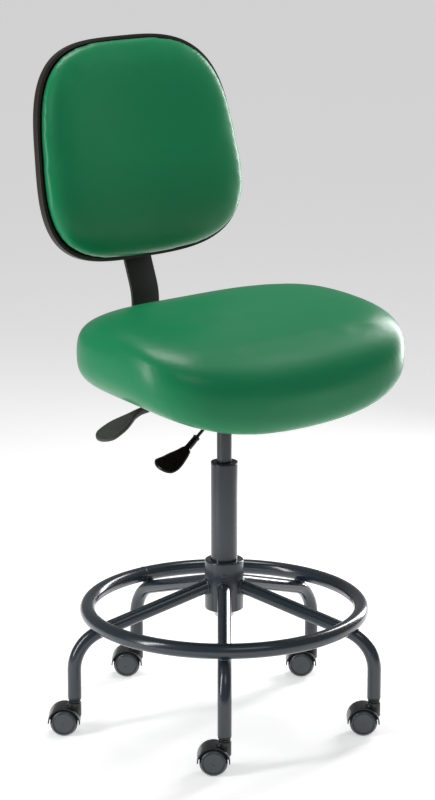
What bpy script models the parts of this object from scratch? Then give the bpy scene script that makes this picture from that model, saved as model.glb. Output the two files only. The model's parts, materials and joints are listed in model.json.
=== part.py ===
"""Drafting chair: five-leg tube base with a foot ring, gas lift, tilting seat and a J-bar backrest.

Metres, +Z up. The chair faces -Y and the sitter's right hand is at -X. The origin is on the floor
under the middle of the chair's box. Everything is placed from the column's axis, at COLUMN_X, COLUMN_Y.
"""
import bpy
import bmesh
import numpy as np
from math import atan2, cos, pi, radians, sin, sqrt, tan
from mathutils import Matrix, Vector

# ---- general ----
GAP = 0.0003                # clearance between surfaces that touch
RUNNING = 0.0006            # clearance round a moving rod in a plate
COLUMN_X = 0.00525           # column axis from the origin
COLUMN_Y = -0.0325

# ---- castors ----
WHEEL_R = 0.0260
WHEEL_W = 0.0186
WHEEL_HUB_R = 0.0170
TREAD_ROUND = 0.0030
CASTER_TRAIL = 0.0200
CASTER_AIM = radians(138.0)  # direction in which the castors trail
WEB_T = 0.0080
SIDE_PLAY = 0.0006
AXLE_R = 0.0030
HOOD_CLEAR = 0.0016
HOOD_T = 0.0024
NECK_HALF = 0.0120
NECK_TOP = 2 * WHEEL_R + 0.0100
NECK_FOOT = WHEEL_R + 0.0105  # lower end of the neck's outer side
STEM_R = 0.0045
STEM_DEPTH = 0.0095
COLLAR_R = 0.0128
COLLAR_H = 0.0095
SLEEVE_LENGTH = 0.0300

# ---- base ----
LEG_COUNT = 5
TUBE_R = 0.0130             # legs
RING_TUBE_R = 0.0144
TUBE_WALL = 0.0020
LEG_CIRCLE = 0.2975         # column axis to each foot
LEG_SLOPE = radians(18.0)
LEG_BEND = 0.0750           # centreline radius of the bend
FOOT_Z = NECK_TOP + COLLAR_H  # lower end of each leg
LEG_AXIS_Z = FOOT_Z + 0.2050  # where a leg's sloping line would cross the column axis
REAR_LEG = radians(84.0)    # direction of the rearmost leg
RING_R = 0.2610             # foot ring centreline
HUB_R = 0.0370
HUB_Z0 = LEG_AXIS_Z - 0.0575
HUB_Z1 = LEG_AXIS_Z + 0.0400
HUB_CHAMFER = 0.0030

# ---- gas lift ----
COLUMN_R = 0.0254
COLUMN_WALL = 0.0029
COLUMN_STANDS = 0.1890      # column above the hub
COLUMN_Z1 = HUB_Z1 + COLUMN_STANDS
COLUMN_BELOW_HUB = 0.0040   # the column's lower end stands out under the hub
COLUMN_FLOOR = 0.0060
ROD_R = 0.0050
ROD_TOP_Z = COLUMN_Z1 - 0.0100
CYLINDER_R = 0.0140
CYLINDER_SHOWN = 0.1020     # cylinder between the column and the seat control
CONTROL_Z0 = COLUMN_Z1 + CYLINDER_SHOWN
CYLINDER_Z0 = CONTROL_Z0 - 0.2750
BUSH_LENGTH = 0.0700
BUSH_LIP = 0.0022
CLIP_R = 0.0187
CLIP_T = 0.0095
BEARING_R = 0.0125
BEARING_T = 0.0060
VALVE_R = 0.0040
VALVE_LENGTH = 0.0220
VALVE_STANDS = 0.0040       # valve pin above the cylinder's top
VALVE_BORE = 0.0240

# ---- seat control ----
CONTROL_HALF = 0.0550
CONTROL_T = 0.0030
CONTROL_H = 0.0310
CONTROL_Y0 = -0.0850
CONTROL_Y1 = 0.0980
SOCKET_R = CYLINDER_R + 0.0080
SOCKET_H = 0.0100
TILT_Y = -0.0350
TILT_Z = CONTROL_Z0 + 0.0210
TILT_PIN_R = 0.0040
PIN_STANDS = 0.0080         # pin ends beyond the control's walls
BACK_PIN_Y = 0.0850
BACK_PIN_Z = CONTROL_Z0 + 0.0160
BACK_PIN_R = 0.0050

# ---- levers ----
LEVER_ROD_R = 0.0030
LEVER_Y = -0.0540
LEVER_DROOP = radians(36.5)
LEVER_BEND_OUT = 0.0080     # rod bends down this far outside its pivot
LEVER_OUT = 0.0645          # pivot to the start of the paddle
LEVER_LENGTH = 0.1170       # paddle
TILT_LEVER_R = 0.0038
TILT_LEVER_Y = 0.0500
TILT_LEVER_DROOP = radians(1.5)
TILT_LEVER_OUT = 0.0945
TILT_LEVER_LENGTH = 0.1170
GRIP = 0.0200               # rod held inside a paddle

# ---- seat ----
PLATE_Z0 = CONTROL_Z0 + 0.0455
PLATE_T = 0.0030
PLATE_HALF_X = 0.0900
PLATE_HALF_Y = 0.1050
LUG_HALF = 0.0100
BOLT_X = 0.0720
BOLT_Y = 0.0850
BOLT_R = 0.0035
BOLT_HEAD_R = 0.0065
BOLT_HEAD_H = 0.0040
BOARD_T = 0.0110
BOLT_LENGTH = PLATE_T + 0.7 * BOARD_T
BOARD_SHARE = 0.78          # board outline against the cushion's
SEAT_HALF_X = 0.3090
SEAT_HALF_Y = 0.2215
SEAT_POWER = 3.15           # plan corner squareness
SEAT_TAPER = 0.0200         # narrower at the rear
SEAT_Y = -0.0460            # seat centre from the column axis
SEAT_EDGE_Z = PLATE_Z0 + 0.0635  # height of the widest line at mid seat
SEAT_CROWN = 0.0815
SEAT_UNDER = 0.0690
SEAT_FRONT_DROP = 0.0350
SEAT_SIDE_RISE = 0.0130
SEAT_PITCH = radians(6.0)

# ---- backrest ----
BAR_WIDTH = 0.0660
BAR_T = 0.0060
BAR_Y0 = 0.1120
BAR_Z = CONTROL_Z0 + 0.0190
BAR_UPRIGHT_Y = 0.2260
BAR_BEND = 0.0450
BAR_BREAK_Z = BAR_Z + 0.1515  # where the upright starts to lean back
BAR_BREAK_R = 0.1200
BAR_LEAN = radians(20.0)
BAR_TOP_Z = BAR_Z + 0.4290
YOKE_T = 0.0040
YOKE_Y0 = 0.0730
YOKE_Y1 = 0.1400
YOKE_EAR_Z0 = BACK_PIN_Z - BACK_PIN_R - 0.0030
YOKE_EAR_Z1 = BACK_PIN_Z + BACK_PIN_R + 0.0050
YOKE_SHELF_Y0 = 0.1030
BACK_HALF_X = 0.2430
BACK_HALF_V = 0.2110
BACK_POWER = 3.25
BACK_TAPER = 0.0750         # narrower at the top
BACK_Y = 0.2760
BACK_Z = BAR_Z + 0.4475
BACK_LEAN = radians(10.3)
BACK_WRAP = 0.0220          # how far the sides come forward
SHELL_BACK = 0.0080
SHELL_FLOOR = 0.0035
SHELL_RIM = 0.0140
SHELL_SHARE = 0.965         # inner wall of the shell against its outline
BACK_BOARD_T = 0.0090
BACK_CROWN = 0.0520
BACK_LUMBAR = 0.2500
BRACKET_HALF_X = BAR_WIDTH / 2 + 0.0100
BRACKET_Z0 = BACK_Z - 0.1285
BRACKET_Z1 = BACK_Z - 0.0385
BRACKET_BEHIND = 0.0080

COLOURS = {
    "powder_coat": ((0.047, 0.060, 0.070, 1.0), 0.30, 0.6),
    "green_vinyl": ((0.013, 0.235, 0.090, 1.0), 0.38, 0.0),
    "shell_plastic": ((0.020, 0.014, 0.011, 1.0), 0.45, 0.0),
    "black_plastic": ((0.008, 0.008, 0.008, 1.0), 0.25, 0.0),
    "grey_plastic": ((0.050, 0.050, 0.048, 1.0), 0.45, 0.0),
    "castor_plastic": ((0.030, 0.036, 0.042, 1.0), 0.35, 0.0),
    "zinc": ((0.550, 0.560, 0.580, 1.0), 0.35, 1.0),
    "steel_black": ((0.018, 0.018, 0.018, 1.0), 0.40, 0.5),
    "plywood": ((0.480, 0.330, 0.190, 1.0), 0.70, 0.0),
}


# ---------------------------------------------------------------- helpers

def clear_scene():
    for item in list(bpy.data.objects):
        bpy.data.objects.remove(item, do_unlink=True)


def material(name, slot):
    colour, rough, metal = COLOURS[slot]
    mat = bpy.data.materials.new(name + "_material")
    mat.use_nodes = True
    shader = mat.node_tree.nodes["Principled BSDF"]
    shader.inputs["Base Color"].default_value = colour
    shader.inputs["Roughness"].default_value = rough
    shader.inputs["Metallic"].default_value = metal
    return mat


def empty(name, place, parent=None, turn=0.0):
    guide = bpy.data.objects.new(name, None)
    bpy.context.scene.collection.objects.link(guide)
    guide.parent = parent
    guide.location = place
    guide.rotation_euler = (0.0, 0.0, turn)
    return guide


def mesh_from(name, points, faces):
    """A mesh whose faces are made to point outwards."""
    mesh = bpy.data.meshes.new(name)
    mesh.from_pydata([tuple(p) for p in points], [], faces)
    work = bmesh.new()
    work.from_mesh(mesh)
    bmesh.ops.recalc_face_normals(work, faces=work.faces)
    if work.calc_volume(signed=True) < 0:
        bmesh.ops.reverse_faces(work, faces=work.faces)
    work.to_mesh(mesh)
    work.free()
    return mesh


def add(name, mesh, slot, parent, place=(0, 0, 0), turn=0.0, smooth=True):
    if smooth:
        mesh.shade_smooth()
        mesh.set_sharp_from_angle(angle=radians(35))
    item = bpy.data.objects.new(name, mesh)
    bpy.context.scene.collection.objects.link(item)
    if not mesh.materials:
        mesh.materials.append(material(name, slot))
    item.parent = parent
    item.location = place
    item.rotation_euler = (0.0, 0.0, turn)
    return item


def boolean(item, name, mesh, operation="DIFFERENCE"):
    """Cut from item, or join to it, a guide shape given in item's own coordinates."""
    guide = bpy.data.objects.new(name, mesh)
    bpy.context.scene.collection.objects.link(guide)
    guide.parent = item
    guide.hide_render = True
    guide.display_type = "WIRE"
    step = item.modifiers.new(name, "BOOLEAN")
    step.operation = operation
    step.solver = "EXACT"
    step.object = guide


def skin(rings, loop=False):
    """Faces between rings of equal length; loop joins the last ring to the first."""
    count = len(rings[0])
    faces = []
    pairs = len(rings) if loop else len(rings) - 1
    for i in range(pairs):
        j = (i + 1) % len(rings)
        for k in range(count):
            m = (k + 1) % count
            faces.append((i * count + k, i * count + m, j * count + m, j * count + k))
    if not loop:
        faces.append(tuple(range(count)))
        faces.append(tuple((len(rings) - 1) * count + k for k in reversed(range(count))))
    return [p for ring in rings for p in ring], faces


def turned(name, profile, sides, hollow=False, axis="Z", phase=0.0):
    """A profile of (radius, height) turned round an axis; hollow profiles are closed loops."""
    rings = []
    for radius, height in profile:
        ring = []
        for k in range(sides):
            a = phase + 2 * pi * k / sides
            point = (radius * cos(a), radius * sin(a), height)
            if axis == "Y":
                point = (point[0], point[2], point[1])
            if axis == "X":
                point = (point[2], point[0], point[1])
            ring.append(point)
        rings.append(ring)
    return mesh_from(name, *skin(rings, hollow))


def rod(name, start, end, radius, sides=12):
    """A round bar between two points."""
    start, end = Vector(start), Vector(end)
    turn = (end - start).to_track_quat("Z", "Y").to_matrix()
    rings = []
    for centre in (start, end):
        rings.append([centre + turn @ Vector((radius * cos(2 * pi * k / sides),
                                              radius * sin(2 * pi * k / sides), 0.0))
                      for k in range(sides)])
    return mesh_from(name, *skin(rings))


def box(name, low, high):
    x0, y0, z0 = low
    x1, y1, z1 = high
    rings = [[(x0, y0, z), (x1, y0, z), (x1, y1, z), (x0, y1, z)] for z in (z0, z1)]
    return mesh_from(name, *skin(rings))


def extruded(name, outline, low, high, axis="X"):
    """A flat outline pushed along an axis: (y, z) points for X, (x, z) points for Y."""
    rings = []
    for depth in (low, high):
        if axis == "X":
            rings.append([(depth, a, b) for a, b in outline])
        elif axis == "Y":
            rings.append([(a, depth, b) for a, b in outline])
        else:
            rings.append([(a, b, depth) for a, b in outline])
    return mesh_from(name, *skin(rings))


def arc(centre, radius, start, stop, steps):
    """Points of an arc, both ends included."""
    return [(centre[0] + radius * cos(start + (stop - start) * i / steps),
             centre[1] + radius * sin(start + (stop - start) * i / steps)) for i in range(steps + 1)]


# ---------------------------------------------------------------- base

def leg_line():
    """Centreline of a leg in its own plane, as (radius, height) with the direction at each point."""
    corner_z = LEG_AXIS_Z - LEG_CIRCLE * tan(LEG_SLOPE)
    turn = pi / 2 - LEG_SLOPE
    reach = LEG_BEND * tan(turn / 2)
    centre = (LEG_CIRCLE - LEG_BEND, corner_z - reach)
    start = HUB_R * 0.9
    line = [((start, LEG_AXIS_Z - start * tan(LEG_SLOPE)), LEG_SLOPE)]
    steps = 6
    for i in range(steps + 1):
        a = turn * (1 - i / steps)
        point = (centre[0] + LEG_BEND * cos(a), centre[1] + LEG_BEND * sin(a))
        line.append((point, pi / 2 - a))
    line.append(((LEG_CIRCLE, FOOT_Z), pi / 2))
    return line, centre


def leg_mesh():
    """A bent tube with both ends open; its upper end is coped to the hub."""
    sides = 12
    line, _ = leg_line()
    rings = []
    for radius in (TUBE_R, TUBE_R - TUBE_WALL):
        layer = []
        for index, ((r, z), slope) in enumerate(line):
            ring = []
            for k in range(sides):
                a = 2 * pi * k / sides
                side = radius * cos(a)
                up = radius * sin(a)
                x = r + up * sin(slope)
                height = z + up * cos(slope)
                if index == 0:
                    on_hub = sqrt((HUB_R + GAP) ** 2 - side ** 2)
                    height -= (on_hub - x) * tan(slope)
                    x = on_hub
                ring.append((x, side, height))
            layer.append(ring)
        rings.append(layer)
    return mesh_from("leg", *skin(rings[0] + rings[1][::-1], loop=True))


def foot_ring_z():
    """The ring lies on the bends of the legs."""
    _, centre = leg_line()
    reach = LEG_BEND + TUBE_R + RING_TUBE_R + GAP
    return centre[1] + sqrt(reach ** 2 - (RING_R - centre[0]) ** 2)


def make_base(chair):
    shape = leg_mesh()
    for k in range(LEG_COUNT):
        add(f"leg_{k + 1}", shape, "powder_coat", chair, turn=REAR_LEG + 2 * pi * k / LEG_COUNT)
    rings = []
    height = foot_ring_z()
    for i in range(40):
        a = 2 * pi * i / 40
        rings.append([((RING_R + RING_TUBE_R * cos(b)) * cos(a), (RING_R + RING_TUBE_R * cos(b)) * sin(a),
                       height + RING_TUBE_R * sin(b)) for b in np.linspace(0, 2 * pi, 12, endpoint=False)])
    add("foot_ring", mesh_from("foot_ring", *skin(rings, loop=True)), "powder_coat", chair)
    bore = COLUMN_R + GAP
    hub = [(HUB_R - HUB_CHAMFER, HUB_Z0), (HUB_R, HUB_Z0 + HUB_CHAMFER),
           (HUB_R, HUB_Z1 - HUB_CHAMFER), (HUB_R - HUB_CHAMFER, HUB_Z1), (bore, HUB_Z1), (bore, HUB_Z0)]
    add("hub", turned("hub", hub, 24, hollow=True), "powder_coat", chair)


# ---------------------------------------------------------------- gas lift

def make_column(chair):
    low = HUB_Z0 - COLUMN_BELOW_HUB
    inner = COLUMN_R - COLUMN_WALL
    hole = ROD_R + GAP
    tube = [(COLUMN_R, low), (COLUMN_R, COLUMN_Z1), (inner, COLUMN_Z1), (inner, low + COLUMN_FLOOR),
            (hole, low + COLUMN_FLOOR), (hole, low)]
    add("column_tube", turned("column_tube", tube, 24, hollow=True), "powder_coat", chair)
    fit = inner - GAP
    bore = CYLINDER_R + GAP
    seat = COLUMN_Z1 + GAP
    bush = [(fit, COLUMN_Z1 - BUSH_LENGTH), (fit, seat), (COLUMN_R, seat), (COLUMN_R, seat + BUSH_LIP),
            (bore, seat + BUSH_LIP), (bore, COLUMN_Z1 - BUSH_LENGTH)]
    add("column_bush", turned("column_bush", bush, 24, hollow=True), "black_plastic", chair)
    clip = [(CLIP_R, low - GAP - CLIP_T), (CLIP_R, low - GAP), (hole, low - GAP), (hole, low - GAP - CLIP_T)]
    add("retaining_clip", turned("retaining_clip", clip, 16, hollow=True), "zinc", chair)
    floor = low + COLUMN_FLOOR + GAP
    bearing = [(BEARING_R, floor), (BEARING_R, floor + BEARING_T), (hole, floor + BEARING_T), (hole, floor)]
    add("thrust_bearing", turned("thrust_bearing", bearing, 16, hollow=True), "zinc", chair)


def make_lift(chair):
    swivel = empty("seat_swivel", (0, 0, 0), chair)
    low = HUB_Z0 - COLUMN_BELOW_HUB
    shoulder = low + COLUMN_FLOOR + 2 * GAP + BEARING_T
    bottom = low - 2 * GAP - CLIP_T - 0.0020
    profile = [(ROD_R, bottom), (ROD_R, shoulder), (ROD_R * 1.7, shoulder),
               (ROD_R * 1.7, shoulder + 0.004), (ROD_R, shoulder + 0.004), (ROD_R, ROD_TOP_Z)]
    add("piston_rod", turned("piston_rod", profile, 12), "zinc", swivel)
    lift = empty("seat_height", (0, 0, 0), swivel)
    top = CONTROL_Z0 + CONTROL_T + SOCKET_H - 0.0010
    bore = ROD_R + GAP
    hole = VALVE_R + GAP
    valve_floor = top - VALVE_BORE
    cylinder = [(CYLINDER_R, CYLINDER_Z0), (CYLINDER_R, top)]
    body = add("gas_cylinder", turned("gas_cylinder", cylinder, 20), "powder_coat", lift)
    boolean(body, "rod_bore", rod("rod_bore", (0, 0, CYLINDER_Z0 - 0.01), (0, 0, valve_floor - 0.004), bore))
    boolean(body, "valve_bore", rod("valve_bore", (0, 0, valve_floor), (0, 0, top + 0.01), hole))
    stands = top + VALVE_STANDS
    pin = rod("valve_pin", (0, 0, stands - VALVE_LENGTH), (0, 0, stands), VALVE_R)
    add("valve_pin", pin, "zinc", lift)
    return lift, stands


# ---------------------------------------------------------------- castors

def castor_housing():
    """Hood over both treads, a web between the wheels and a neck for the stem."""
    centre = (CASTER_TRAIL, WHEEL_R)
    inner = WHEEL_R / cos(pi / 16) + HOOD_CLEAR
    outer = inner + HOOD_T
    half = WEB_T / 2 + SIDE_PLAY + WHEEL_W
    first, last = radians(-3), radians(183)
    hood = arc(centre, outer, first, last, 12) + arc(centre, inner, last, first, 12)
    housing = extruded("castor_housing", hood, -half, half, "Y")
    middle = (inner + outer) / 2
    web = arc(centre, middle, radians(4), radians(176), 10)
    web += arc(centre, 0.78 * WHEEL_R, radians(190), radians(350), 8)
    neck = [(-NECK_HALF, NECK_TOP), (NECK_HALF, NECK_TOP)]
    neck += arc(centre, middle, radians(115), radians(165), 3)
    neck += [(-NECK_HALF, NECK_FOOT)]
    return (housing, extruded("castor_web", web, -WEB_T / 2, WEB_T / 2, "Y"),
            extruded("castor_neck", neck, -NECK_HALF, NECK_HALF, "Y"))


def wheel_mesh(side):
    """One wheel of the pair, turned about the axle; a flat of its tread faces down."""
    near = side * (WEB_T / 2 + SIDE_PLAY)
    far = side * (WEB_T / 2 + SIDE_PLAY + WHEEL_W)
    tread = WHEEL_R / cos(pi / 16)
    bore = AXLE_R + GAP
    step = side * TREAD_ROUND
    profile = [(bore, near), (tread - TREAD_ROUND, near), (tread, near + step), (tread, far - step),
               (tread - TREAD_ROUND, far), (WHEEL_HUB_R, far), (WHEEL_HUB_R - 0.001, far - step / 2),
               (bore, far - step / 2)]
    return turned("wheel", profile, 16, hollow=True, axis="Y", phase=pi / 16)


def stem_mesh():
    """Pin in the neck, two collars under the leg, and a sleeve inside the leg's tube."""
    top = FOOT_Z - GAP
    collar = top - NECK_TOP - GAP
    sleeve = TUBE_R - TUBE_WALL - GAP
    low = NECK_TOP + GAP
    profile = [(STEM_R, low - STEM_DEPTH), (STEM_R, low), (COLLAR_R * 0.88, low),
               (COLLAR_R * 0.88, low + collar * 0.40), (COLLAR_R * 0.70, low + collar * 0.45),
               (COLLAR_R * 0.70, low + collar * 0.55), (COLLAR_R, low + collar * 0.60), (COLLAR_R, top),
               (sleeve * cos(pi / 12), top), (sleeve * cos(pi / 12), top + SLEEVE_LENGTH)]
    return turned("castor_stem", profile, 12)


def make_castors(chair):
    hood, web, neck = castor_housing()
    wheels = {"left": wheel_mesh(1), "right": wheel_mesh(-1)}
    stem = stem_mesh()
    ends = WEB_T / 2 + SIDE_PLAY + WHEEL_W - TREAD_ROUND / 2 - 0.0005
    axle = rod("castor_axle", (0, -ends, 0), (0, ends, 0), AXLE_R, 10)
    axle_hole = rod("axle_hole", (CASTER_TRAIL, -0.03, WHEEL_R), (CASTER_TRAIL, 0.03, WHEEL_R),
                    AXLE_R + GAP, 10)
    stem_hole = rod("stem_hole", (0, 0, NECK_TOP + GAP - STEM_DEPTH - 0.001), (0, 0, NECK_TOP + 0.01),
                    STEM_R + GAP)
    for k in range(LEG_COUNT):
        a = REAR_LEG + 2 * pi * k / LEG_COUNT
        foot = (LEG_CIRCLE * cos(a), LEG_CIRCLE * sin(a), 0.0)
        name = f"castor_{k + 1}"
        add(name + "_stem", stem, "castor_plastic", chair, foot)
        swivel = empty(name + "_swivel", foot, chair, CASTER_AIM)
        housing = add(name + "_housing", hood.copy(), "castor_plastic", swivel)
        boolean(housing, name + "_web", web, "UNION")
        boolean(housing, name + "_neck", neck, "UNION")
        boolean(housing, name + "_axle_hole", axle_hole)
        boolean(housing, name + "_stem_hole", stem_hole)
        centre = (CASTER_TRAIL, 0.0, WHEEL_R)
        add(name + "_axle", axle, "zinc", swivel, centre)
        for side, mesh in wheels.items():
            add(f"{name}_wheel_{side}", mesh, "castor_plastic", swivel, centre)


# ---------------------------------------------------------------- seat control and levers

def make_control(lift, valve_top):
    inner = CONTROL_HALF - CONTROL_T
    top = CONTROL_Z0 + CONTROL_H
    channel = [(-CONTROL_HALF, CONTROL_Z0), (CONTROL_HALF, CONTROL_Z0), (CONTROL_HALF, top), (inner, top),
               (inner, CONTROL_Z0 + CONTROL_T), (-inner, CONTROL_Z0 + CONTROL_T), (-inner, top),
               (-CONTROL_HALF, top)]
    control = add("control_housing", extruded("control_housing", channel, CONTROL_Y0, CONTROL_Y1, "Y"),
                  "steel_black", lift, smooth=False)
    socket = rod("socket", (0, 0, CONTROL_Z0 + CONTROL_T / 2), (0, 0, CONTROL_Z0 + CONTROL_T + SOCKET_H),
                 SOCKET_R, 20)
    boolean(control, "socket", socket, "UNION")
    bore = [(CYLINDER_R + GAP, CONTROL_Z0 - 0.01), (CYLINDER_R + GAP, top)]
    boolean(control, "socket_bore", turned("socket_bore", bore, 20))
    lever_z = valve_top + RUNNING + LEVER_ROD_R
    wide = CONTROL_HALF + 0.02
    holes = [("tilt_hole", (-wide, TILT_Y, TILT_Z), (wide, TILT_Y, TILT_Z), TILT_PIN_R + GAP),
             ("back_hole", (-wide, BACK_PIN_Y, BACK_PIN_Z), (wide, BACK_PIN_Y, BACK_PIN_Z),
              BACK_PIN_R + GAP),
             ("lever_hole", (-wide, LEVER_Y, lever_z), (0, LEVER_Y, lever_z), LEVER_ROD_R + RUNNING),
             ("tilt_lever_hole", (-wide, TILT_LEVER_Y, lever_z), (0, TILT_LEVER_Y, lever_z),
              TILT_LEVER_R + RUNNING)]
    for name, start, end, radius in holes:
        boolean(control, name, rod(name, start, end, radius))
    ends = CONTROL_HALF + PIN_STANDS
    for side, name in ((1, "left"), (-1, "right")):
        near, far = (side * (inner - 0.004), TILT_Y, TILT_Z), (side * ends, TILT_Y, TILT_Z)
        pin = rod("tilt_pin", near, far, TILT_PIN_R)
        add(f"tilt_pin_{name}", pin, "zinc", lift)
    pin = rod("back_pivot_pin", (-ends, BACK_PIN_Y, BACK_PIN_Z), (ends, BACK_PIN_Y, BACK_PIN_Z), BACK_PIN_R)
    add("back_pivot_pin", pin, "zinc", lift)
    return lever_z


def bent_rod(name, points, radius, sides=10):
    """A round bar through points, mitred at its corners."""
    points = [Vector(p) for p in points]
    along = [(b - a).normalized() for a, b in zip(points, points[1:])]
    turn = along[0].to_track_quat("Z", "Y").to_matrix()
    angles = [2 * pi * k / sides for k in range(sides)]
    ring = [points[0] + turn @ Vector((radius * cos(a), radius * sin(a), 0.0)) for a in angles]
    rings = [ring]
    for i, before in enumerate(along):
        after = along[min(i + 1, len(along) - 1)]
        normal = before + after
        corner = points[i + 1]
        ring = [p + before * (normal.dot(corner - p) / normal.dot(before)) for p in ring]
        rings.append(ring)
    return mesh_from(name, *skin(rings))


def paddle(name, stations, sides=14):
    """Oval sections square to a centreline: each station is (x, z, half width, half thickness)."""
    rings = []
    for i, (x, z, wide, thick) in enumerate(stations):
        before = stations[max(i - 1, 0)]
        after = stations[min(i + 1, len(stations) - 1)]
        slope = atan2(before[1] - after[1], before[0] - after[0])
        ring = []
        for k in range(sides):
            a = 2 * pi * k / sides
            up = thick * sin(a)
            ring.append((x - up * sin(slope), wide * cos(a), z + up * cos(slope)))
        rings.append(ring)
    return mesh_from(name, *skin(rings))


def lever_stations(start, length, droop, shape):
    """Stations of a paddle from its shape: (share of length, rise, half width, half thickness)."""
    x0, z0 = start
    return [(x0 - share * length * cos(droop), z0 - share * length * sin(droop) + lift, wide, thick)
            for share, lift, wide, thick in shape]


def make_lever(lift, name, slot, place, rod_line, rod_radius, stations, droop):
    axis = empty(name, place, lift)
    add(name + "_rod", bent_rod(name + "_rod", rod_line, rod_radius), "zinc", axis)
    handle = add(name + "_paddle", paddle(name + "_paddle", stations), slot, axis)
    end = Vector(rod_line[0])
    away = Vector((-cos(droop), 0.0, -sin(droop)))
    hole = rod(name + "_grip_hole", end + away * 0.001, end - away * (GRIP + 0.01), rod_radius + GAP, 10)
    boolean(handle, name + "_grip_hole", hole)


def make_levers(lift, lever_z):
    pivot_x = -(CONTROL_HALF - CONTROL_T / 2)
    bend = -LEVER_BEND_OUT
    start = (-LEVER_OUT, (bend + LEVER_OUT) * -tan(LEVER_DROOP))
    tip = (start[0] - GRIP * cos(LEVER_DROOP), 0, start[1] - GRIP * sin(LEVER_DROOP))
    line = [tip, (bend, 0, 0), (0.012, 0, 0), (-pivot_x - 0.002, -LEVER_Y - 0.002, 0)]
    shape = [(0.0, 0.0, 0.0055, 0.0055), (0.24, 0.0, 0.0062, 0.0060), (0.28, 0.0, 0.0110, 0.0075),
             (0.46, 0.003, 0.0170, 0.0090), (0.70, 0.011, 0.0215, 0.0085), (0.90, 0.023, 0.0185, 0.0070),
             (1.0, 0.030, 0.0080, 0.0040)]
    stations = lever_stations(start, LEVER_LENGTH, LEVER_DROOP, shape)
    make_lever(lift, "height_lever", "black_plastic", (pivot_x, LEVER_Y, lever_z), line, LEVER_ROD_R,
               stations, LEVER_DROOP)
    start = (-TILT_LEVER_OUT, -TILT_LEVER_OUT * tan(TILT_LEVER_DROOP))
    tip = (start[0] - GRIP * cos(TILT_LEVER_DROOP), 0, start[1] - GRIP * sin(TILT_LEVER_DROOP))
    line = [tip, (0.020, 0, 0.020 * tan(TILT_LEVER_DROOP))]
    shape = [(0.0, 0.0, 0.0062, 0.0060), (0.22, -0.003, 0.0090, 0.0064), (0.42, -0.011, 0.0180, 0.0062),
             (0.68, -0.022, 0.0230, 0.0058), (0.90, -0.032, 0.0180, 0.0050), (1.0, -0.036, 0.0070, 0.0032)]
    stations = lever_stations(start, TILT_LEVER_LENGTH, TILT_LEVER_DROOP, shape)
    make_lever(lift, "tilt_lever", "grey_plastic", (pivot_x, TILT_LEVER_Y, lever_z), line, TILT_LEVER_R,
               stations, TILT_LEVER_DROOP)


# ---------------------------------------------------------------- seat

def outline(half_x, half_y, power, count):
    """Points of a superellipse, evenly spread in its parameter."""
    points = []
    for k in range(count):
        a = 2 * pi * k / count
        c, s = cos(a), sin(a)
        points.append((half_x * abs(c) ** (2 / power) * (1 if c >= 0 else -1),
                       half_y * abs(s) ** (2 / power) * (1 if s >= 0 else -1)))
    return points


def seat_plan(count):
    return [(x * (1 - SEAT_TAPER * y / SEAT_HALF_Y), y)
            for x, y in outline(SEAT_HALF_X, SEAT_HALF_Y, SEAT_POWER, count)]


def seat_line(x, y):
    """Height of the seat's widest line: pitched, dropped at the front, raised at the sides."""
    front = min(max(-y / SEAT_HALF_Y, 0.0), 1.0)
    return (SEAT_EDGE_Z + y * tan(SEAT_PITCH) - SEAT_FRONT_DROP * front ** 2
            + SEAT_SIDE_RISE * (x / SEAT_HALF_X) ** 2)


def make_seat(lift):
    tilt = empty("seat_tilt", (0, TILT_Y, TILT_Z), lift)
    home = Matrix.Translation((0, -TILT_Y, -TILT_Z))

    def seated(mesh):
        mesh.transform(home)
        return mesh

    plate_top = PLATE_Z0 + PLATE_T
    corner = Vector((PLATE_HALF_X, PLATE_HALF_Y, plate_top))
    plate_mesh = box("seat_plate", (-corner.x, -corner.y, PLATE_Z0), corner)
    plate = add("seat_plate", seated(plate_mesh), "steel_black", tilt, smooth=False)
    near = CONTROL_HALF + 2 * RUNNING
    for side in (1, -1):
        x0, x1 = sorted((side * near, side * (near + CONTROL_T)))
        lug = box("lug", (x0, TILT_Y - LUG_HALF, TILT_Z - LUG_HALF * 0.8),
                  (x1, TILT_Y + LUG_HALF, PLATE_Z0 + PLATE_T / 2))
        boolean(plate, f"lug_{side}", seated(lug), "UNION")
    wide = CONTROL_HALF + 0.03
    hole = rod("lug_hole", (-wide, TILT_Y, TILT_Z), (wide, TILT_Y, TILT_Z), TILT_PIN_R + GAP)
    boolean(plate, "lug_hole", seated(hole))
    board_z = plate_top + GAP
    shape = [(x * BOARD_SHARE, y * BOARD_SHARE + SEAT_Y) for x, y in seat_plan(32)]
    board = add("seat_board", seated(extruded("seat_board", shape, board_z, board_z + BOARD_T, "Z")),
                "plywood", tilt, smooth=False)
    number = 0
    for side_x in (1, -1):
        for side_y in (1, -1):
            number += 1
            x, y = side_x * BOLT_X, side_y * BOLT_Y
            head = PLATE_Z0 - GAP
            profile = [(BOLT_HEAD_R, head - BOLT_HEAD_H), (BOLT_HEAD_R, head), (BOLT_R, head),
                       (BOLT_R, head + BOLT_LENGTH)]
            bolt = turned("seat_bolt", profile, 12)
            bolt.transform(Matrix.Translation((x, y, 0)))
            add(f"seat_bolt_{number}", seated(bolt), "zinc", tilt)
            drill = rod("bolt_hole", (x, y, head - 0.002), (x, y, head + BOLT_LENGTH + 0.0008), BOLT_R + GAP)
            drill = seated(drill)
            boolean(plate, f"plate_hole_{number}", drill)
            boolean(board, f"board_hole_{number}", drill)
    add("seat_cushion", seated(seat_cushion_mesh(board_z + BOARD_T + GAP)), "green_vinyl", tilt)


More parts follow.
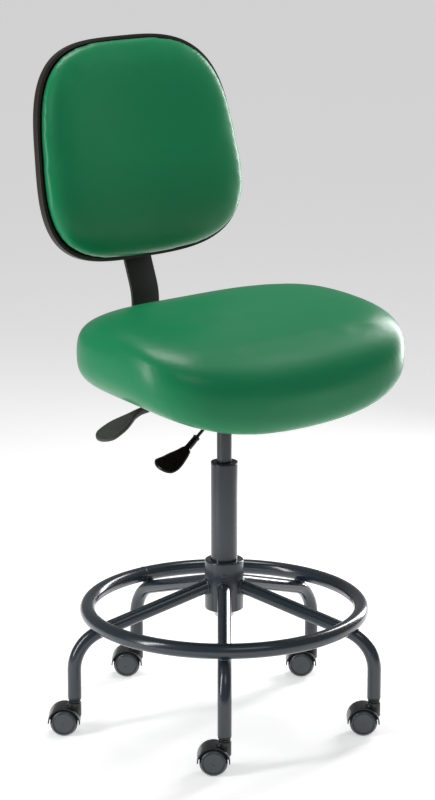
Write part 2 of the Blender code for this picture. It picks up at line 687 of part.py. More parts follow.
def seat_cushion_mesh(rest_z):
    """Rings of the plan outline: flat where it lies on its board, rolled edge, crowned top."""
    plan = seat_plan(36)
    flat = [0.04, BOARD_SHARE + 0.03]
    rings = [[(x * s, y * s + SEAT_Y, rest_z) for x, y in plan] for s in flat]
    for v in np.radians([-42, -22, 0, 20, 38, 54, 68, 80, 88]):
        s = cos(v) ** 0.48
        rise = SEAT_CROWN if v > 0 else SEAT_UNDER
        lift = rise * abs(sin(v)) ** 0.56 * (1 if v > 0 else -1)
        rings.append([(x * s, y * s + SEAT_Y, seat_line(x * s, y * s) + lift) for x, y in plan])
    return mesh_from("seat_cushion", *skin(rings))


# ---------------------------------------------------------------- backrest

def bar_line():
    """Centreline of the flat bar as (y, z) points: level, up, then leaning back."""
    z = BAR_Z
    points = [(BAR_Y0, z), (BAR_UPRIGHT_Y - BAR_BEND, z)]
    points += arc((BAR_UPRIGHT_Y - BAR_BEND, z + BAR_BEND), BAR_BEND, -pi / 2, 0.0, 6)[1:]
    points.append((BAR_UPRIGHT_Y, BAR_BREAK_Z))
    lean = arc((BAR_UPRIGHT_Y + BAR_BREAK_R, BAR_BREAK_Z), BAR_BREAK_R, pi, pi - BAR_LEAN, 4)[1:]
    points += lean
    y, z = lean[-1]
    points.append((y + (BAR_TOP_Z - z) * tan(BAR_LEAN), BAR_TOP_Z))
    return points


def strip(name, line, thick, half):
    """A flat bar of even thickness along a line in the YZ plane."""
    left, right = [], []
    for i, point in enumerate(line):
        before = line[max(i - 1, 0)]
        after = line[min(i + 1, len(line) - 1)]
        a1 = atan2(point[1] - before[1], point[0] - before[0]) if i else None
        a2 = atan2(after[1] - point[1], after[0] - point[0]) if i + 1 < len(line) else None
        a1 = a2 if a1 is None else a1
        a2 = a1 if a2 is None else a2
        middle = (a1 + a2) / 2
        reach = thick / 2 / cos((a2 - a1) / 2)
        left.append((point[0] - reach * sin(middle), point[1] + reach * cos(middle)))
        right.append((point[0] + reach * sin(middle), point[1] - reach * cos(middle)))
    rings = [[(-half, *a), (half, *a), (half, *b), (-half, *b)] for a, b in zip(left, right)]
    return mesh_from(name, *skin(rings))


def bar_at(z):
    """The upper bar's centreline at a height: its y."""
    y, top = bar_line()[-1]
    return y + (z - top) * tan(BAR_LEAN)


def make_back_arm(lift):
    axis = empty("back_angle", (0, BACK_PIN_Y, BACK_PIN_Z), lift)
    home = Matrix.Translation((0, -BACK_PIN_Y, -BACK_PIN_Z))
    half = BAR_WIDTH / 2
    bar = strip("j_bar", bar_line(), BAR_T, half)
    bar.transform(home)
    add("j_bar", bar, "steel_black", axis, smooth=False)
    shelf_top = BAR_Z - BAR_T / 2 - GAP
    outer = half + GAP + YOKE_T
    shelf = box("back_yoke", (-outer, YOKE_SHELF_Y0, shelf_top - YOKE_T), (outer, YOKE_Y1, shelf_top))
    shelf.transform(home)
    yoke = add("back_yoke", shelf, "steel_black", axis, smooth=False)
    for side in (1, -1):
        a, b = side * (half + GAP), side * outer
        ear = box("ear", (min(a, b), YOKE_Y0, YOKE_EAR_Z0), (max(a, b), YOKE_Y1, YOKE_EAR_Z1))
        ear.transform(home)
        boolean(yoke, f"ear_{side}", ear, "UNION")
    hole = rod("yoke_hole", (-0.06, 0, 0), (0.06, 0, 0), BACK_PIN_R + GAP)
    boolean(yoke, "yoke_hole", hole)
    return axis


def back_point(x, v, n):
    """Place of a backrest point: x across, v up the leaning back, n forward of its bowed plane."""
    n = n + BACK_WRAP * (x / BACK_HALF_X) ** 2
    y = BACK_Y - n * cos(BACK_LEAN) + v * sin(BACK_LEAN)
    return (x, y, BACK_Z + v * cos(BACK_LEAN) + n * sin(BACK_LEAN))


def back_plan(count=36):
    return [(x * (1 - BACK_TAPER * v / BACK_HALF_V), v)
            for x, v in outline(BACK_HALF_X, BACK_HALF_V, BACK_POWER, count)]


def back_loft(name, stations, lumbar=0.0):
    """Rings of the backrest's outline: each station is (share of the outline, n).

    What stands in front of the shell's rim is thinned towards the top by the lumbar share.
    """
    plan = back_plan()
    rings = []
    for s, n in stations:
        proud = max(n - SHELL_RIM - 3 * GAP, 0.0)
        rings.append([back_point(x * s, v * s, n - proud * lumbar * v * s / BACK_HALF_V) for x, v in plan])
    return mesh_from(name, *skin(rings))


def make_backrest(axis):
    slide = empty("back_height", (0, 0, 0), axis)
    home = Matrix.Translation((0, -BACK_PIN_Y, -BACK_PIN_Z))
    inside = SHELL_SHARE - 0.004
    floor = -SHELL_BACK + SHELL_FLOOR
    spread = [0.04, 0.3, 0.55, 0.78]
    shell = [(s, -SHELL_BACK) for s in spread] + [(0.93, -SHELL_BACK), (0.985, -SHELL_BACK * 0.45)]
    shell += [(1.0, 0.002), (1.0, SHELL_RIM), (SHELL_SHARE, SHELL_RIM)]
    shell += [(0.94, floor)] + [(s, floor) for s in spread[::-1]]
    mesh = back_loft("back_shell", shell)
    mesh.transform(home)
    add("back_shell", mesh, "shell_plastic", slide)
    low = floor + GAP * 1.5
    board = [(s, low) for s in spread] + [(0.925, low), (0.925, low + BACK_BOARD_T)]
    board += [(s, low + BACK_BOARD_T) for s in spread[::-1]]
    mesh = back_loft("back_board", board)
    mesh.transform(home)
    add("back_board", mesh, "plywood", slide, smooth=False)
    seat = low + BACK_BOARD_T + GAP * 1.5
    cushion = [(s, seat) for s in spread]
    cushion += [(0.925, seat), (inside, SHELL_RIM + GAP), (0.975, SHELL_RIM + 3 * GAP)]
    cushion += [(0.985, 0.022), (0.965, 0.034), (0.90, 0.047), (0.78, 0.054)]
    cushion += [(0.55, BACK_CROWN - 0.002), (0.3, BACK_CROWN), (0.04, BACK_CROWN)]
    mesh = back_loft("back_cushion", cushion, BACK_LUMBAR)
    mesh.transform(home)
    add("back_cushion", mesh, "green_vinyl", slide)
    front = -SHELL_BACK - GAP
    outline_yz = []
    for z in (BRACKET_Z0, BRACKET_Z1):
        v = (z - BACK_Z - front * sin(BACK_LEAN)) / cos(BACK_LEAN)
        outline_yz.append(back_point(0, v, front)[1:])
    behind = (BAR_T / 2 + BRACKET_BEHIND) / cos(BAR_LEAN)
    outline_yz += [(bar_at(BRACKET_Z1) + behind, BRACKET_Z1), (bar_at(BRACKET_Z0) + behind, BRACKET_Z0)]
    block = extruded("back_bracket", outline_yz, -BRACKET_HALF_X, BRACKET_HALF_X)
    block.transform(home)
    bracket = add("back_bracket", block, "shell_plastic", slide, smooth=False)
    slot_line = [(bar_at(z), z) for z in (BRACKET_Z0 - 0.03, BRACKET_Z1 + 0.03)]
    slot = strip("bar_slot", slot_line, BAR_T + 2 * GAP, BAR_WIDTH / 2 + GAP)
    slot.transform(home)
    boolean(bracket, "bar_slot", slot)


def main():
    clear_scene()
    chair = empty("chair", (COLUMN_X, COLUMN_Y, 0.0))
    make_base(chair)
    make_column(chair)
    lift, valve_top = make_lift(chair)
    make_castors(chair)
    lever_z = make_control(lift, valve_top)
    make_levers(lift, lever_z)
    make_seat(lift)
    make_backrest(make_back_arm(lift))


main()
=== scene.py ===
"""Looks of a drafting chair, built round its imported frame.

Metres, +Z up. The chair faces -Y and the sitter's right hand is at -X. Every new piece is a surface worked
out on a grid of two parameters, and stands where the frame's nodes stand.
"""

import bmesh
import bpy
import json
import numpy as np
from math import cos, pi, radians, sin, sqrt, tan
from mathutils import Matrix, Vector


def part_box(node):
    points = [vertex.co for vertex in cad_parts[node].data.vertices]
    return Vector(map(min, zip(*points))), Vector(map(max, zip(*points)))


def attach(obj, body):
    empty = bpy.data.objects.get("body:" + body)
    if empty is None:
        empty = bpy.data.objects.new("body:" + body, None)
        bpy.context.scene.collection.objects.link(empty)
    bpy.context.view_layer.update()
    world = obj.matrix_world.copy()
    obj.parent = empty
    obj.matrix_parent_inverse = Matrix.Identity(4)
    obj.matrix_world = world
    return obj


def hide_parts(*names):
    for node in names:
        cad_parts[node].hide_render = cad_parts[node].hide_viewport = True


bl_info = {
    "name": "Drafting chair",
    "version": (1, 0, 0),
    "blender": (4, 5, 0),
    "location": "3D View > Sidebar > Chair",
    "description": "Builds the upholstery, tubes, castors, levers and finishes of a drafting chair",
    "category": "Add Mesh",
}

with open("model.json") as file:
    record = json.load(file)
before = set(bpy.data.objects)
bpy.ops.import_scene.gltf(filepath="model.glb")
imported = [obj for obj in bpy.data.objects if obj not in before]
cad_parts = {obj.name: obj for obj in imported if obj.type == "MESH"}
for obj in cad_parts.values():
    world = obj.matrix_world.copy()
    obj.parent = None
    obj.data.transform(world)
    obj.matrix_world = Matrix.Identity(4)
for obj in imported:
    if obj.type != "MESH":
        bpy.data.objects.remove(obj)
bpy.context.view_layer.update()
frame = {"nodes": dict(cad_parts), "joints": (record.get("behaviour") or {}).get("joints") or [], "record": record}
JOINTS = {joint["name"]: joint for joint in frame["joints"]}
COLUMN = np.array(JOINTS["seat_swivel"]["pos_m"][:2] + [0.0])
FEET = [np.array(JOINTS[f"castor_{k}_swivel"]["pos_m"]) for k in range(1, 6)]
GAP = 0.0003
AXIS = 0.0001
CASTOR_HALF = 0.0232
UP = np.array([0.0, 0.0, 1.0])


# ---------------------------------------------------------------- properties

def length(name, default, description):
    """A size in metres that a user may change."""
    return bpy.props.FloatProperty(name=name, default=default, description=description,
                                   unit="LENGTH", precision=4, min=0.0)


def slant(name, degrees, description):
    """An angle that a user may change."""
    return bpy.props.FloatProperty(name=name, default=radians(degrees), description=description,
                                   unit="ROTATION")


def paint(name, default, description):
    """A colour that a user may change."""
    return bpy.props.FloatVectorProperty(name=name, default=default, description=description,
                                         subtype="COLOR", size=3, min=0.0, max=1.0)


class ChairBaseSizes(bpy.types.PropertyGroup):
    """Sizes of the tube base, the hub and the column."""
    tube_radius: length("Leg tube radius", 0.0130, "Outer radius of the leg tubes")
    leg_slope: slant("Leg slope", 18.0, "Fall of each leg from the hub to its bend")
    leg_bend: length("Leg bend", 0.075, "Centreline radius of each leg's bend")
    axis_height: length("Leg line height", 0.2765, "Where a leg's sloping line crosses the column axis")
    ring_radius: length("Ring radius", 0.261, "Centreline radius of the foot ring")
    ring_tube: length("Ring tube radius", 0.0144, "Outer radius of the foot ring's tube")
    bead: length("Weld bead", 0.0021, "Radius of the weld beads")


class ChairCastorSizes(bpy.types.PropertyGroup):
    """Sizes of the twin-wheel castors."""
    wheel_radius: length("Wheel radius", 0.0260, "Radius of the treads")
    hood_clear: length("Hood clearance", 0.0021, "Air between the treads and the hood")
    hood_thick: length("Hood wall", 0.0024, "Thickness of the hood")
    neck_radius: length("Neck radius", 0.0126, "Radius of the neck under its collars")
    trail: length("Trail", 0.020, "Distance from the stem to the axle")


class ChairSeatSizes(bpy.types.PropertyGroup):
    """Sizes of the seat cushion's form."""
    half_width: length("Half width", 0.3150, "Half the seat's width")
    half_depth: length("Half depth", 0.2080, "Half the seat's depth")
    crown: length("Crown", 0.0845, "Height of the top above the widest line")
    under: length("Underside", 0.0724, "Depth of the underside below the widest line")
    front_drop: length("Front drop", 0.0378, "Fall of the front edge")
    side_rise: length("Side rise", 0.0168, "Rise of the two sides")
    corner_drop: length("Corner drop", 0.0240, "Fall of the two rear corners")
    pitch: slant("Pitch", 5.7, "Rise of the seat towards its rear")


class ChairBackSizes(bpy.types.PropertyGroup):
    """Sizes of the backrest and its bar."""
    half_width: length("Half width", 0.243, "Half the backrest's width")
    half_height: length("Half height", 0.211, "Half the backrest's height")
    lean: slant("Lean", 10.3, "Lean of the backrest")
    wrap: length("Wrap", 0.022, "How far the sides come forward")
    bar_width: length("Bar width", 0.066, "Width of the flat bar")
    bar_thick: length("Bar thickness", 0.006, "Thickness of the flat bar")
    bar_lean: slant("Bar lean", 20.0, "Lean of the bar's upper part")


class ChairColours(bpy.types.PropertyGroup):
    """Colours of the chair's finishes, as linear values."""
    vinyl: paint("Vinyl", (0.004, 0.205, 0.076), "Upholstery")
    powder: paint("Powder coat", (0.016, 0.026, 0.037), "Tube base")
    cylinder: paint("Cylinder", (0.060, 0.064, 0.066), "Gas cylinder")
    shell: paint("Shell", (0.020, 0.014, 0.011), "Backrest shell")
    bar: paint("Bar", (0.017, 0.0165, 0.016), "Steel of the bar and seat control")
    grey: paint("Grey lever", (0.075, 0.074, 0.070), "Tilt lever")
    black: paint("Black lever", (0.0012, 0.0012, 0.0012), "Height lever")
    nylon: paint("Castor nylon", (0.010, 0.0115, 0.0125), "Castor hoods and stems")
    wheel: paint("Wheels", (0.030, 0.040, 0.044), "Castor wheels")
    zinc: paint("Zinc", (0.56, 0.57, 0.59), "Plated hardware")
    floor: paint("Floor", (0.86, 0.86, 0.86), "Studio floor")


# ---------------------------------------------------------------- surfaces

def unit(vectors):
    """Vectors divided by their own lengths."""
    vectors = np.asarray(vectors, float)
    return vectors / np.linalg.norm(vectors, axis=-1, keepdims=True)


def place_mesh(name, points, faces, marks):
    """A mesh of points and faces, turned to point outwards, with one number of each mark at each point."""
    corners = np.concatenate([faces[0][:, [0, 1, 2]], faces[0][:, [0, 2, 3]], faces[1]])
    a, b, c = (points[corners[:, i]] for i in range(3))
    if np.einsum("ij,ij->i", a, np.cross(b, c)).sum() < 0:
        faces = [part[:, ::-1] for part in faces]
    mesh = bpy.data.meshes.new(name)
    mesh.from_pydata(points.tolist(), [], faces[0].tolist() + faces[1].tolist())
    for mark, values in marks.items():
        attribute = mesh.attributes.new(mark, "FLOAT", "POINT")
        attribute.data.foreach_set("value", values.astype(np.float32))
    return mesh


def surface(name, grid, ring=False):
    """A closed skin over a grid of points.

    Columns go round a section and join up. Rows run along the piece: they join up too when ring is set,
    and otherwise a fan to the middle of the first and the last section closes each end.
    """
    rows, cols = grid.shape[:2]
    i = np.arange(rows if ring else rows - 1)[:, None]
    j = np.arange(cols)[None, :]
    on, beside = (i + 1) % rows, (j + 1) % cols
    quads = np.stack([i * cols + j, i * cols + beside, on * cols + beside, on * cols + j], -1).reshape(-1, 4)
    points = grid.reshape(-1, 3)
    along = np.repeat(np.linspace(0, 1, rows), cols)
    around = np.tile(np.linspace(0, 1, cols, endpoint=False), rows)
    fans = np.zeros((0, 3), int)
    if not ring:
        k = np.arange(cols)
        m = (k + 1) % cols
        start, end = np.full(cols, rows * cols), np.full(cols, rows * cols + 1)
        last = (rows - 1) * cols
        fans = np.vstack([np.stack([m, k, start], -1), np.stack([last + k, last + m, end], -1)])
        points = np.vstack([points, grid[0].mean(0), grid[-1].mean(0)])
        along = np.append(along, [0.0, 1.0])
        around = np.append(around, [0.0, 0.0])
    return place_mesh(name, points, [quads, fans], {"along": along, "around": around})


def rounded(corners, radius, steps=5, closed=True):
    """A line whose corners become parabolas: each starts and ends at most one radius from its corner."""
    p = np.asarray(corners, float)
    back, on = np.roll(p, 1, 0) - p, np.roll(p, -1, 0) - p
    long_back = np.linalg.norm(back, axis=1, keepdims=True)
    long_on = np.linalg.norm(on, axis=1, keepdims=True)
    cut = np.minimum(np.reshape(radius, (-1, 1)), 0.45 * np.minimum(long_back, long_on))
    a, c = p + back / long_back * cut, p + on / long_on * cut
    t = np.linspace(0, 1, steps)[None, :, None]
    curve = (1 - t) ** 2 * a[:, None] + 2 * t * (1 - t) * p[:, None] + t ** 2 * c[:, None]
    if closed:
        return curve.reshape(-1, p.shape[1])
    return np.vstack([p[:1], curve[1:-1].reshape(-1, p.shape[1]), p[-1:]])


def through(knots, count):
    """A smooth curve through knots: the cubic of each span takes its slopes from both sides."""
    k = np.asarray(knots, float)
    k = np.vstack([2 * k[0] - k[1], k, 2 * k[-1] - k[-2]])
    t = np.linspace(0, len(k) - 3, count)
    i = np.minimum(t.astype(int), len(k) - 4)
    t = (t - i)[:, None]
    a, b, c, d = k[i], k[i + 1], k[i + 2], k[i + 3]
    return 0.5 * (2 * b + (c - a) * t + (2 * a - 5 * b + 4 * c - d) * t ** 2
                  + (3 * b - a - 3 * c + d) * t ** 3)


def evenly(line, count, closed=False):
    """Points spaced evenly by length along a line."""
    line = np.vstack([line, line[:1]]) if closed else np.asarray(line, float)
    run = np.append(0, np.cumsum(np.linalg.norm(np.diff(line, axis=0), axis=1)))
    where = np.linspace(0, run[-1], count, endpoint=not closed)
    return np.stack([np.interp(where, run, line[:, n]) for n in range(line.shape[1])], -1)


def round_angles(count):
    """Angles spaced evenly round a full turn."""
    return np.linspace(0, 2 * pi, count, endpoint=False)


def arc(angles):
    """Points of the unit circle at given angles."""
    return np.stack([np.cos(angles), np.sin(angles)], -1)


def circle(radius, sides):
    """Points of a circle in its own plane."""
    return radius * arc(round_angles(sides))


def hoop(radius, height, count):
    """Points of a level circle round the column's axis."""
    flat = circle(radius, count)
    return COLUMN + np.stack([flat[:, 0], flat[:, 1], np.full(count, height)], -1)


def four_corners(x0, x1, y0, y1):
    """A rectangle's corners, in order round it."""
    return [(x0, y0), (x1, y0), (x1, y1), (x0, y1)]


def extent(node):
    """The lowest and highest heights of a round node, and its radius."""
    low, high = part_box(node)
    return low.z, high.z, (high.x - low.x) / 2


def squared_circle(half_x, half_y, power, angles):
    """|x/a|^p + |y/b|^p = 1 at each angle of its parameter."""
    c, s = np.cos(angles), np.sin(angles)
    return (half_x * np.sign(c) * np.abs(c) ** (2 / power), half_y * np.sign(s) * np.abs(s) ** (2 / power))


def swept(name, path, side, section, ring=False):
    """A section carried along a path.

    Each point is path + x * side + y * (side turned a quarter about the path's direction).
    """
    path = np.asarray(path, float)
    if ring:
        ahead = unit(np.roll(path, -1, 0) - np.roll(path, 1, 0))
    else:
        ahead = unit(np.gradient(path, axis=0))
    side = np.broadcast_to(np.asarray(side, float), path.shape)
    side = unit(side - ahead * np.einsum("ij,ij->i", side, ahead)[:, None])
    up = np.cross(side, ahead)
    section = np.broadcast_to(section, (len(path),) + np.shape(section)[-2:])
    grid = path[:, None] + section[..., :1] * side[:, None] + section[..., 1:] * up[:, None]
    return surface(name, grid, ring)


def spun(name, profile, sides, centre, axis=(0, 0, 1), ring=False):
    """A profile of (radius, height) turned about an axis through a centre; a ring's profile is closed."""
    profile = np.asarray(profile, float)
    axis = unit(axis)
    first = unit(np.cross(axis, (1, 0, 0) if abs(axis[0]) < 0.9 else (0, 1, 0)))
    second = np.cross(axis, first)
    a = round_angles(sides)
    spokes = np.cos(a)[:, None] * first + np.sin(a)[:, None] * second
    grid = np.asarray(centre) + profile[:, None, :1] * spokes + profile[:, None, 1:] * axis
    return surface(name, grid, ring)


def slab(name, outline, depth, edge, origin, across, up, through_axis):
    """A flat outline given a thickness along an axis, its two rims eased by an edge radius."""
    outline = np.asarray(outline, float)
    slope = unit(np.roll(outline, -1, 0) - np.roll(outline, 1, 0))
    inward = np.stack([-slope[:, 1], slope[:, 0]], -1)
    middle = outline.mean(0)
    inward *= np.sign(np.einsum("ij,ij->i", inward, middle - outline).sum())
    a = np.linspace(0, pi / 2, 5)
    inset = np.concatenate([edge * (1 - np.sin(a)), edge * (1 - np.cos(a))])
    height = np.concatenate([-depth + edge * (1 - np.cos(a)), depth - edge * (1 - np.sin(a))])
    flat = outline[None] + inset[:, None, None] * inward[None]
    grid = (np.asarray(origin) + flat[..., :1] * np.asarray(across) + flat[..., 1:] * np.asarray(up)
            + height[:, None, None] * np.asarray(through_axis))
    return surface(name, grid)


def added(name, data):
    """A new object in the scene."""
    made = bpy.data.objects.new(name, data)
    bpy.context.scene.collection.objects.link(made)
    return made


def show(mesh, look, body, stands_for=(), angle=40.0):
    """Put a mesh in the scene: its finish, the body it rides on and the nodes it stands for.
    """
    mesh.shade_smooth()
    mesh.set_sharp_from_angle(angle=radians(angle))
    piece = added(mesh.name, mesh)
    mesh.materials.clear()
    mesh.materials.append(finishes(bpy.context)[look])
    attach(piece, body)
    if stands_for:
        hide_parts(*stands_for)
    return piece


def eased(name, node, look, body, edge, share=1.0):
    """A copy of a frame node, its triangles merged, its plan drawn in and its sharp edges rounded."""
    mesh = frame["nodes"][node].data.copy()
    mesh.name = name
    low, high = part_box(node)
    middle = (low + high) / 2
    work = bmesh.new()
    work.from_mesh(mesh)
    bmesh.ops.translate(work, verts=work.verts, vec=-middle)
    bmesh.ops.scale(work, verts=work.verts, vec=(share, share, 1.0))
    bmesh.ops.translate(work, verts=work.verts, vec=middle)
    bmesh.ops.remove_doubles(work, verts=work.verts, dist=0.00001)
    bmesh.ops.dissolve_limit(work, angle_limit=radians(1.0), verts=work.verts, edges=work.edges)
    work.to_mesh(mesh)
    work.free()
    piece = show(mesh, look, body, [node], 60.0)
    bevel = piece.modifiers.new("eased_edges", "BEVEL")
    bevel.width = edge
    bevel.segments = 3
    bevel.limit_method = "ANGLE"
    bevel.angle_limit = radians(35)
    bevel.harden_normals = True
    return piece


# ---------------------------------------------------------------- finishes

class Value:
    """A number that varies over a surface. Expressions on it add Math nodes."""

    def __init__(self, finish, socket):
        self.finish = finish
        self.socket = socket

    def math(self, operation, *others):
        return self.finish.node("ShaderNodeMath", {"operation": operation}, dict(enumerate([self, *others])))

    def __add__(self, other):
        return self.math("ADD", other)

    def __mul__(self, other):
        return self.math("MULTIPLY", other)

    def __sub__(self, other):
        return self.math("SUBTRACT", other)

    def __rsub__(self, other):
        return self * -1.0 + other

    def band(self, low, high):
        """0 below low, 1 above high, and smooth between."""
        return self.finish.node("ShaderNodeMapRange", {"interpolation_type": "SMOOTHSTEP", "clamp": True},
                                {"Value": self, "From Min": low, "From Max": high})

    __radd__ = __add__
    __rmul__ = __mul__


class Finish:
    """One material: its shader's uniform values, and one method that makes every other node."""

    def __init__(self, name, uniform):
        self.material = bpy.data.materials.new(name)
        self.material.use_nodes = True
        self.tree = self.material.node_tree
        self.shader = self.tree.nodes["Principled BSDF"]
        for socket, value in uniform.items():
            self.shader.inputs[socket].default_value = value
        self.place = self.node("ShaderNodeTexCoord", {}, {}, "Object")

    def node(self, kind, settings, inputs, output=0):
        """A node of a type, its settings, and the values or links of its sockets."""
        made = self.tree.nodes.new(kind)
        for key, value in settings.items():
            setattr(made, key, value)
        for key, value in inputs.items():
            self.feed(made.inputs[key], value)
        return Value(self, made.outputs[output])

    def feed(self, socket, value):
        if isinstance(value, Value):
            self.tree.links.new(value.socket, socket)
        elif isinstance(value, (tuple, list)) and len(value) == 3 and socket.type == "RGBA":
            socket.default_value = (*value, 1.0)
        else:
            socket.default_value = value

    def to(self, socket, value):
        """Feed one of the shader's own sockets."""
        self.feed(self.shader.inputs[socket], value)

    def finished(self, colour, roughness, coat=None, height=None, distance=0.0, strength=1.0, under=None):
        """Feed the shader its colour, roughness, coat and relief, and give back the material."""
        self.to("Base Color", colour)
        self.to("Roughness", roughness)
        if coat:
            self.to("Coat Weight", coat)
        if height:
            self.to("Normal", self.relief(height, distance, strength, under))
        return self.material

    def shades(self, share, colour, light, dark):
        """A colour that runs between a lighter and a darker tint of itself."""
        return self.mix(share, tint(colour, light), tint(colour, dark))

    def stretched(self, scale):
        """The place of a point with each axis multiplied."""
        return self.node("ShaderNodeMapping", {}, {"Vector": self.place, "Scale": scale})

    def noise(self, scale, detail=2.0, roughness=0.5, place=None):
        return self.node("ShaderNodeTexNoise", {}, {"Vector": place or self.place, "Scale": scale,
                                                    "Detail": detail, "Roughness": roughness}, "Fac")

    def cells(self, scale, feature="F1", output="Distance"):
        return self.node("ShaderNodeTexVoronoi", {"feature": feature},
                         {"Vector": self.place, "Scale": scale}, output)

    def mix(self, share, first, second):
        """Colours mixed by a share."""
        made = self.node("ShaderNodeMix", {"data_type": "RGBA"}, {}, 2)
        node = made.socket.node
        self.feed(node.inputs[0], share)
        self.feed(node.inputs[6], first)
        self.feed(node.inputs[7], second)
        return made

    def mark(self, name):
        """A number carried by the mesh itself."""
        return self.node("ShaderNodeAttribute", {"attribute_name": name}, {}, "Fac")

    def relief(self, height, distance, strength=1.0, under=None):
        """Raise the surface by a height, over an earlier relief if there is one."""
        inputs = {"Height": height, "Distance": distance, "Strength": strength}
        if under:
            inputs["Normal"] = under
        return self.node("ShaderNodeBump", {}, inputs)


def tint(colour, factor):
    """A colour made lighter or darker."""
    return tuple(min(channel * factor, 1.0) for channel in colour)


def vinyl_finish(colour):
    """Coated upholstery vinyl: fine leathery grain, faint pores, slow drift of colour and sheen."""
    f = Finish("green_vinyl_cover", {"Coat Roughness": 0.14, "Specular IOR Level": 0.3})
    drift = f.noise(5.0, 3.0)
    grain = f.cells(620.0)
    pores = f.noise(1500.0, 2.0)
    soft = f.relief(f.noise(38.0, 2.0), 0.0006, 0.25)
    return f.finished(f.shades(drift * 0.5 + grain * 0.25, colour, 1.08, 0.86),
                      drift * 0.06 + grain * 0.06 + 0.30, drift * 0.05 + 0.03,
                      grain * 0.7 + pores * 0.3, 0.00018, 0.55, soft)


def powder_finish(colour):
    """Satin powder coat on steel tube: faint orange peel and a slow drift of tone and sheen."""
    f = Finish("blue_grey_powder_coat", {"Coat Roughness": 0.10})
    peel = f.noise(420.0, 2.0)
    drift = f.noise(7.0, 3.0)
    return f.finished(f.shades(drift * 0.8 + peel * 0.2, colour, 1.20, 0.80),
                      drift * 0.08 + peel * 0.04 + 0.17, drift * 0.10 + 0.40, peel, 0.00008, 0.3)


def cylinder_finish(colour):
    """Dark coated lift cylinder: fine turning rings under a satin skin."""
    f = Finish("dark_lift_cylinder", {"Metallic": 0.8})
    rings = f.noise(1.0, 2.0, 0.6, f.stretched((8.0, 8.0, 2600.0)))
    drift = f.noise(12.0, 2.0)
    return f.finished(f.shades(rings * 0.6 + drift * 0.3, colour, 0.75, 1.5), rings * 0.14 + 0.24, None,
                      rings, 0.00004, 0.6)


def zinc_finish(colour):
    """Bright zinc plate: fine brushing, soft blooms and a slightly duller tone in places."""
    f = Finish("bright_zinc_plate", {"Metallic": 1.0})
    brush = f.noise(1.0, 3.0, 0.6, f.stretched((900.0, 900.0, 60.0)))
    bloom = f.cells(55.0)
    return f.finished(f.shades(bloom * 0.6 + brush * 0.3, colour, 1.12, 0.78),
                      brush * 0.22 + bloom * 0.12 + 0.20, None, brush, 0.00005, 0.6)


def bar_finish(colour):
    """Black textured powder coat on flat steel: fine pebble grain and a slow drift of tone and sheen."""
    f = Finish("black_textured_steel", {"Coat Roughness": 0.3, "Specular IOR Level": 0.35})
    pebble = f.cells(950.0)
    drift = f.noise(9.0, 3.0)
    return f.finished(f.shades(drift * 0.6 + pebble * 0.4, colour, 1.5, 0.7),
                      pebble * 0.14 + drift * 0.08 + 0.34, drift * 0.06 + 0.04, pebble, 0.00012, 0.5)


def moulded_finish(name, colour, rough, grain, relief, gloss=0.0):
    """Moulded plastic: spark-eroded grain of a given fineness, slow drift of tone and sheen."""
    f = Finish(name, {"Coat Roughness": 0.08, "Specular IOR Level": 0.35})
    pits = f.cells(grain)
    drift = f.noise(16.0, 3.0)
    return f.finished(f.shades(drift * 0.7 + pits * 0.3, colour, 1.25, 0.78),
                      pits * 0.10 + drift * 0.08 + rough, drift * 0.1 + gloss, pits, relief, 0.5)


def wheel_finish(colour):
    """Nylon wheel: the tread is scuffed grey along its middle, the sides stay smooth."""
    f = Finish("castor_wheel_nylon", {"Coat Roughness": 0.2})
    along = f.mark("along")
    tread = along.band(0.16, 0.24) * (1.0 - along.band(0.44, 0.52))
    scuff = f.noise(190.0, 4.0, 0.65).band(0.42, 0.70) * tread
    dust = f.noise(60.0, 3.0)
    body = f.shades(dust * 0.7, colour, 1.15, 0.8)
    return f.finished(f.mix(scuff * 0.6, body, tint(colour, 2.3)), scuff * 0.25 + dust * 0.08 + 0.22,
                      0.40 - scuff * 0.3, f.noise(700.0, 2.0) + scuff * 0.6, 0.00012, 0.5)


def plywood_finish():
    """Dark stained plywood: long grain on the faces and darker glue lines between its plies."""
    f = Finish("dark_stained_plywood", {})
    grain = f.noise(1.0, 6.0, 0.6, f.stretched((6.0, 120.0, 120.0)))
    pores = f.noise(1.0, 3.0, 0.6, f.stretched((60.0, 1400.0, 1400.0)))
    plies = f.node("ShaderNodeTexWave", {"bands_direction": "Z", "wave_profile": "SAW"},
                   {"Vector": f.place, "Scale": 110.0, "Distortion": 0.4, "Detail": 1.0}, "Fac")
    wood = f.mix(grain, (0.050, 0.038, 0.026), (0.022, 0.016, 0.010))
    return f.finished(f.mix(plies.band(0.8, 1.0) * 0.5, wood, (0.012, 0.008, 0.005)), grain * 0.15 + 0.58,
                      None, pores * 0.5 + grain * 0.5, 0.0002, 0.5)


def floor_finish(colour):
    """Plain pale studio floor."""
    f = Finish("studio_floor", {"Specular IOR Level": 0.1, "Emission Color": (1.0, 1.0, 1.0, 1.0),
                                "Emission Strength": 0.45})
    return f.finished(f.shades(f.noise(2.0, 2.0), colour, 1.01, 0.99), 0.9)


FINISHES = {}


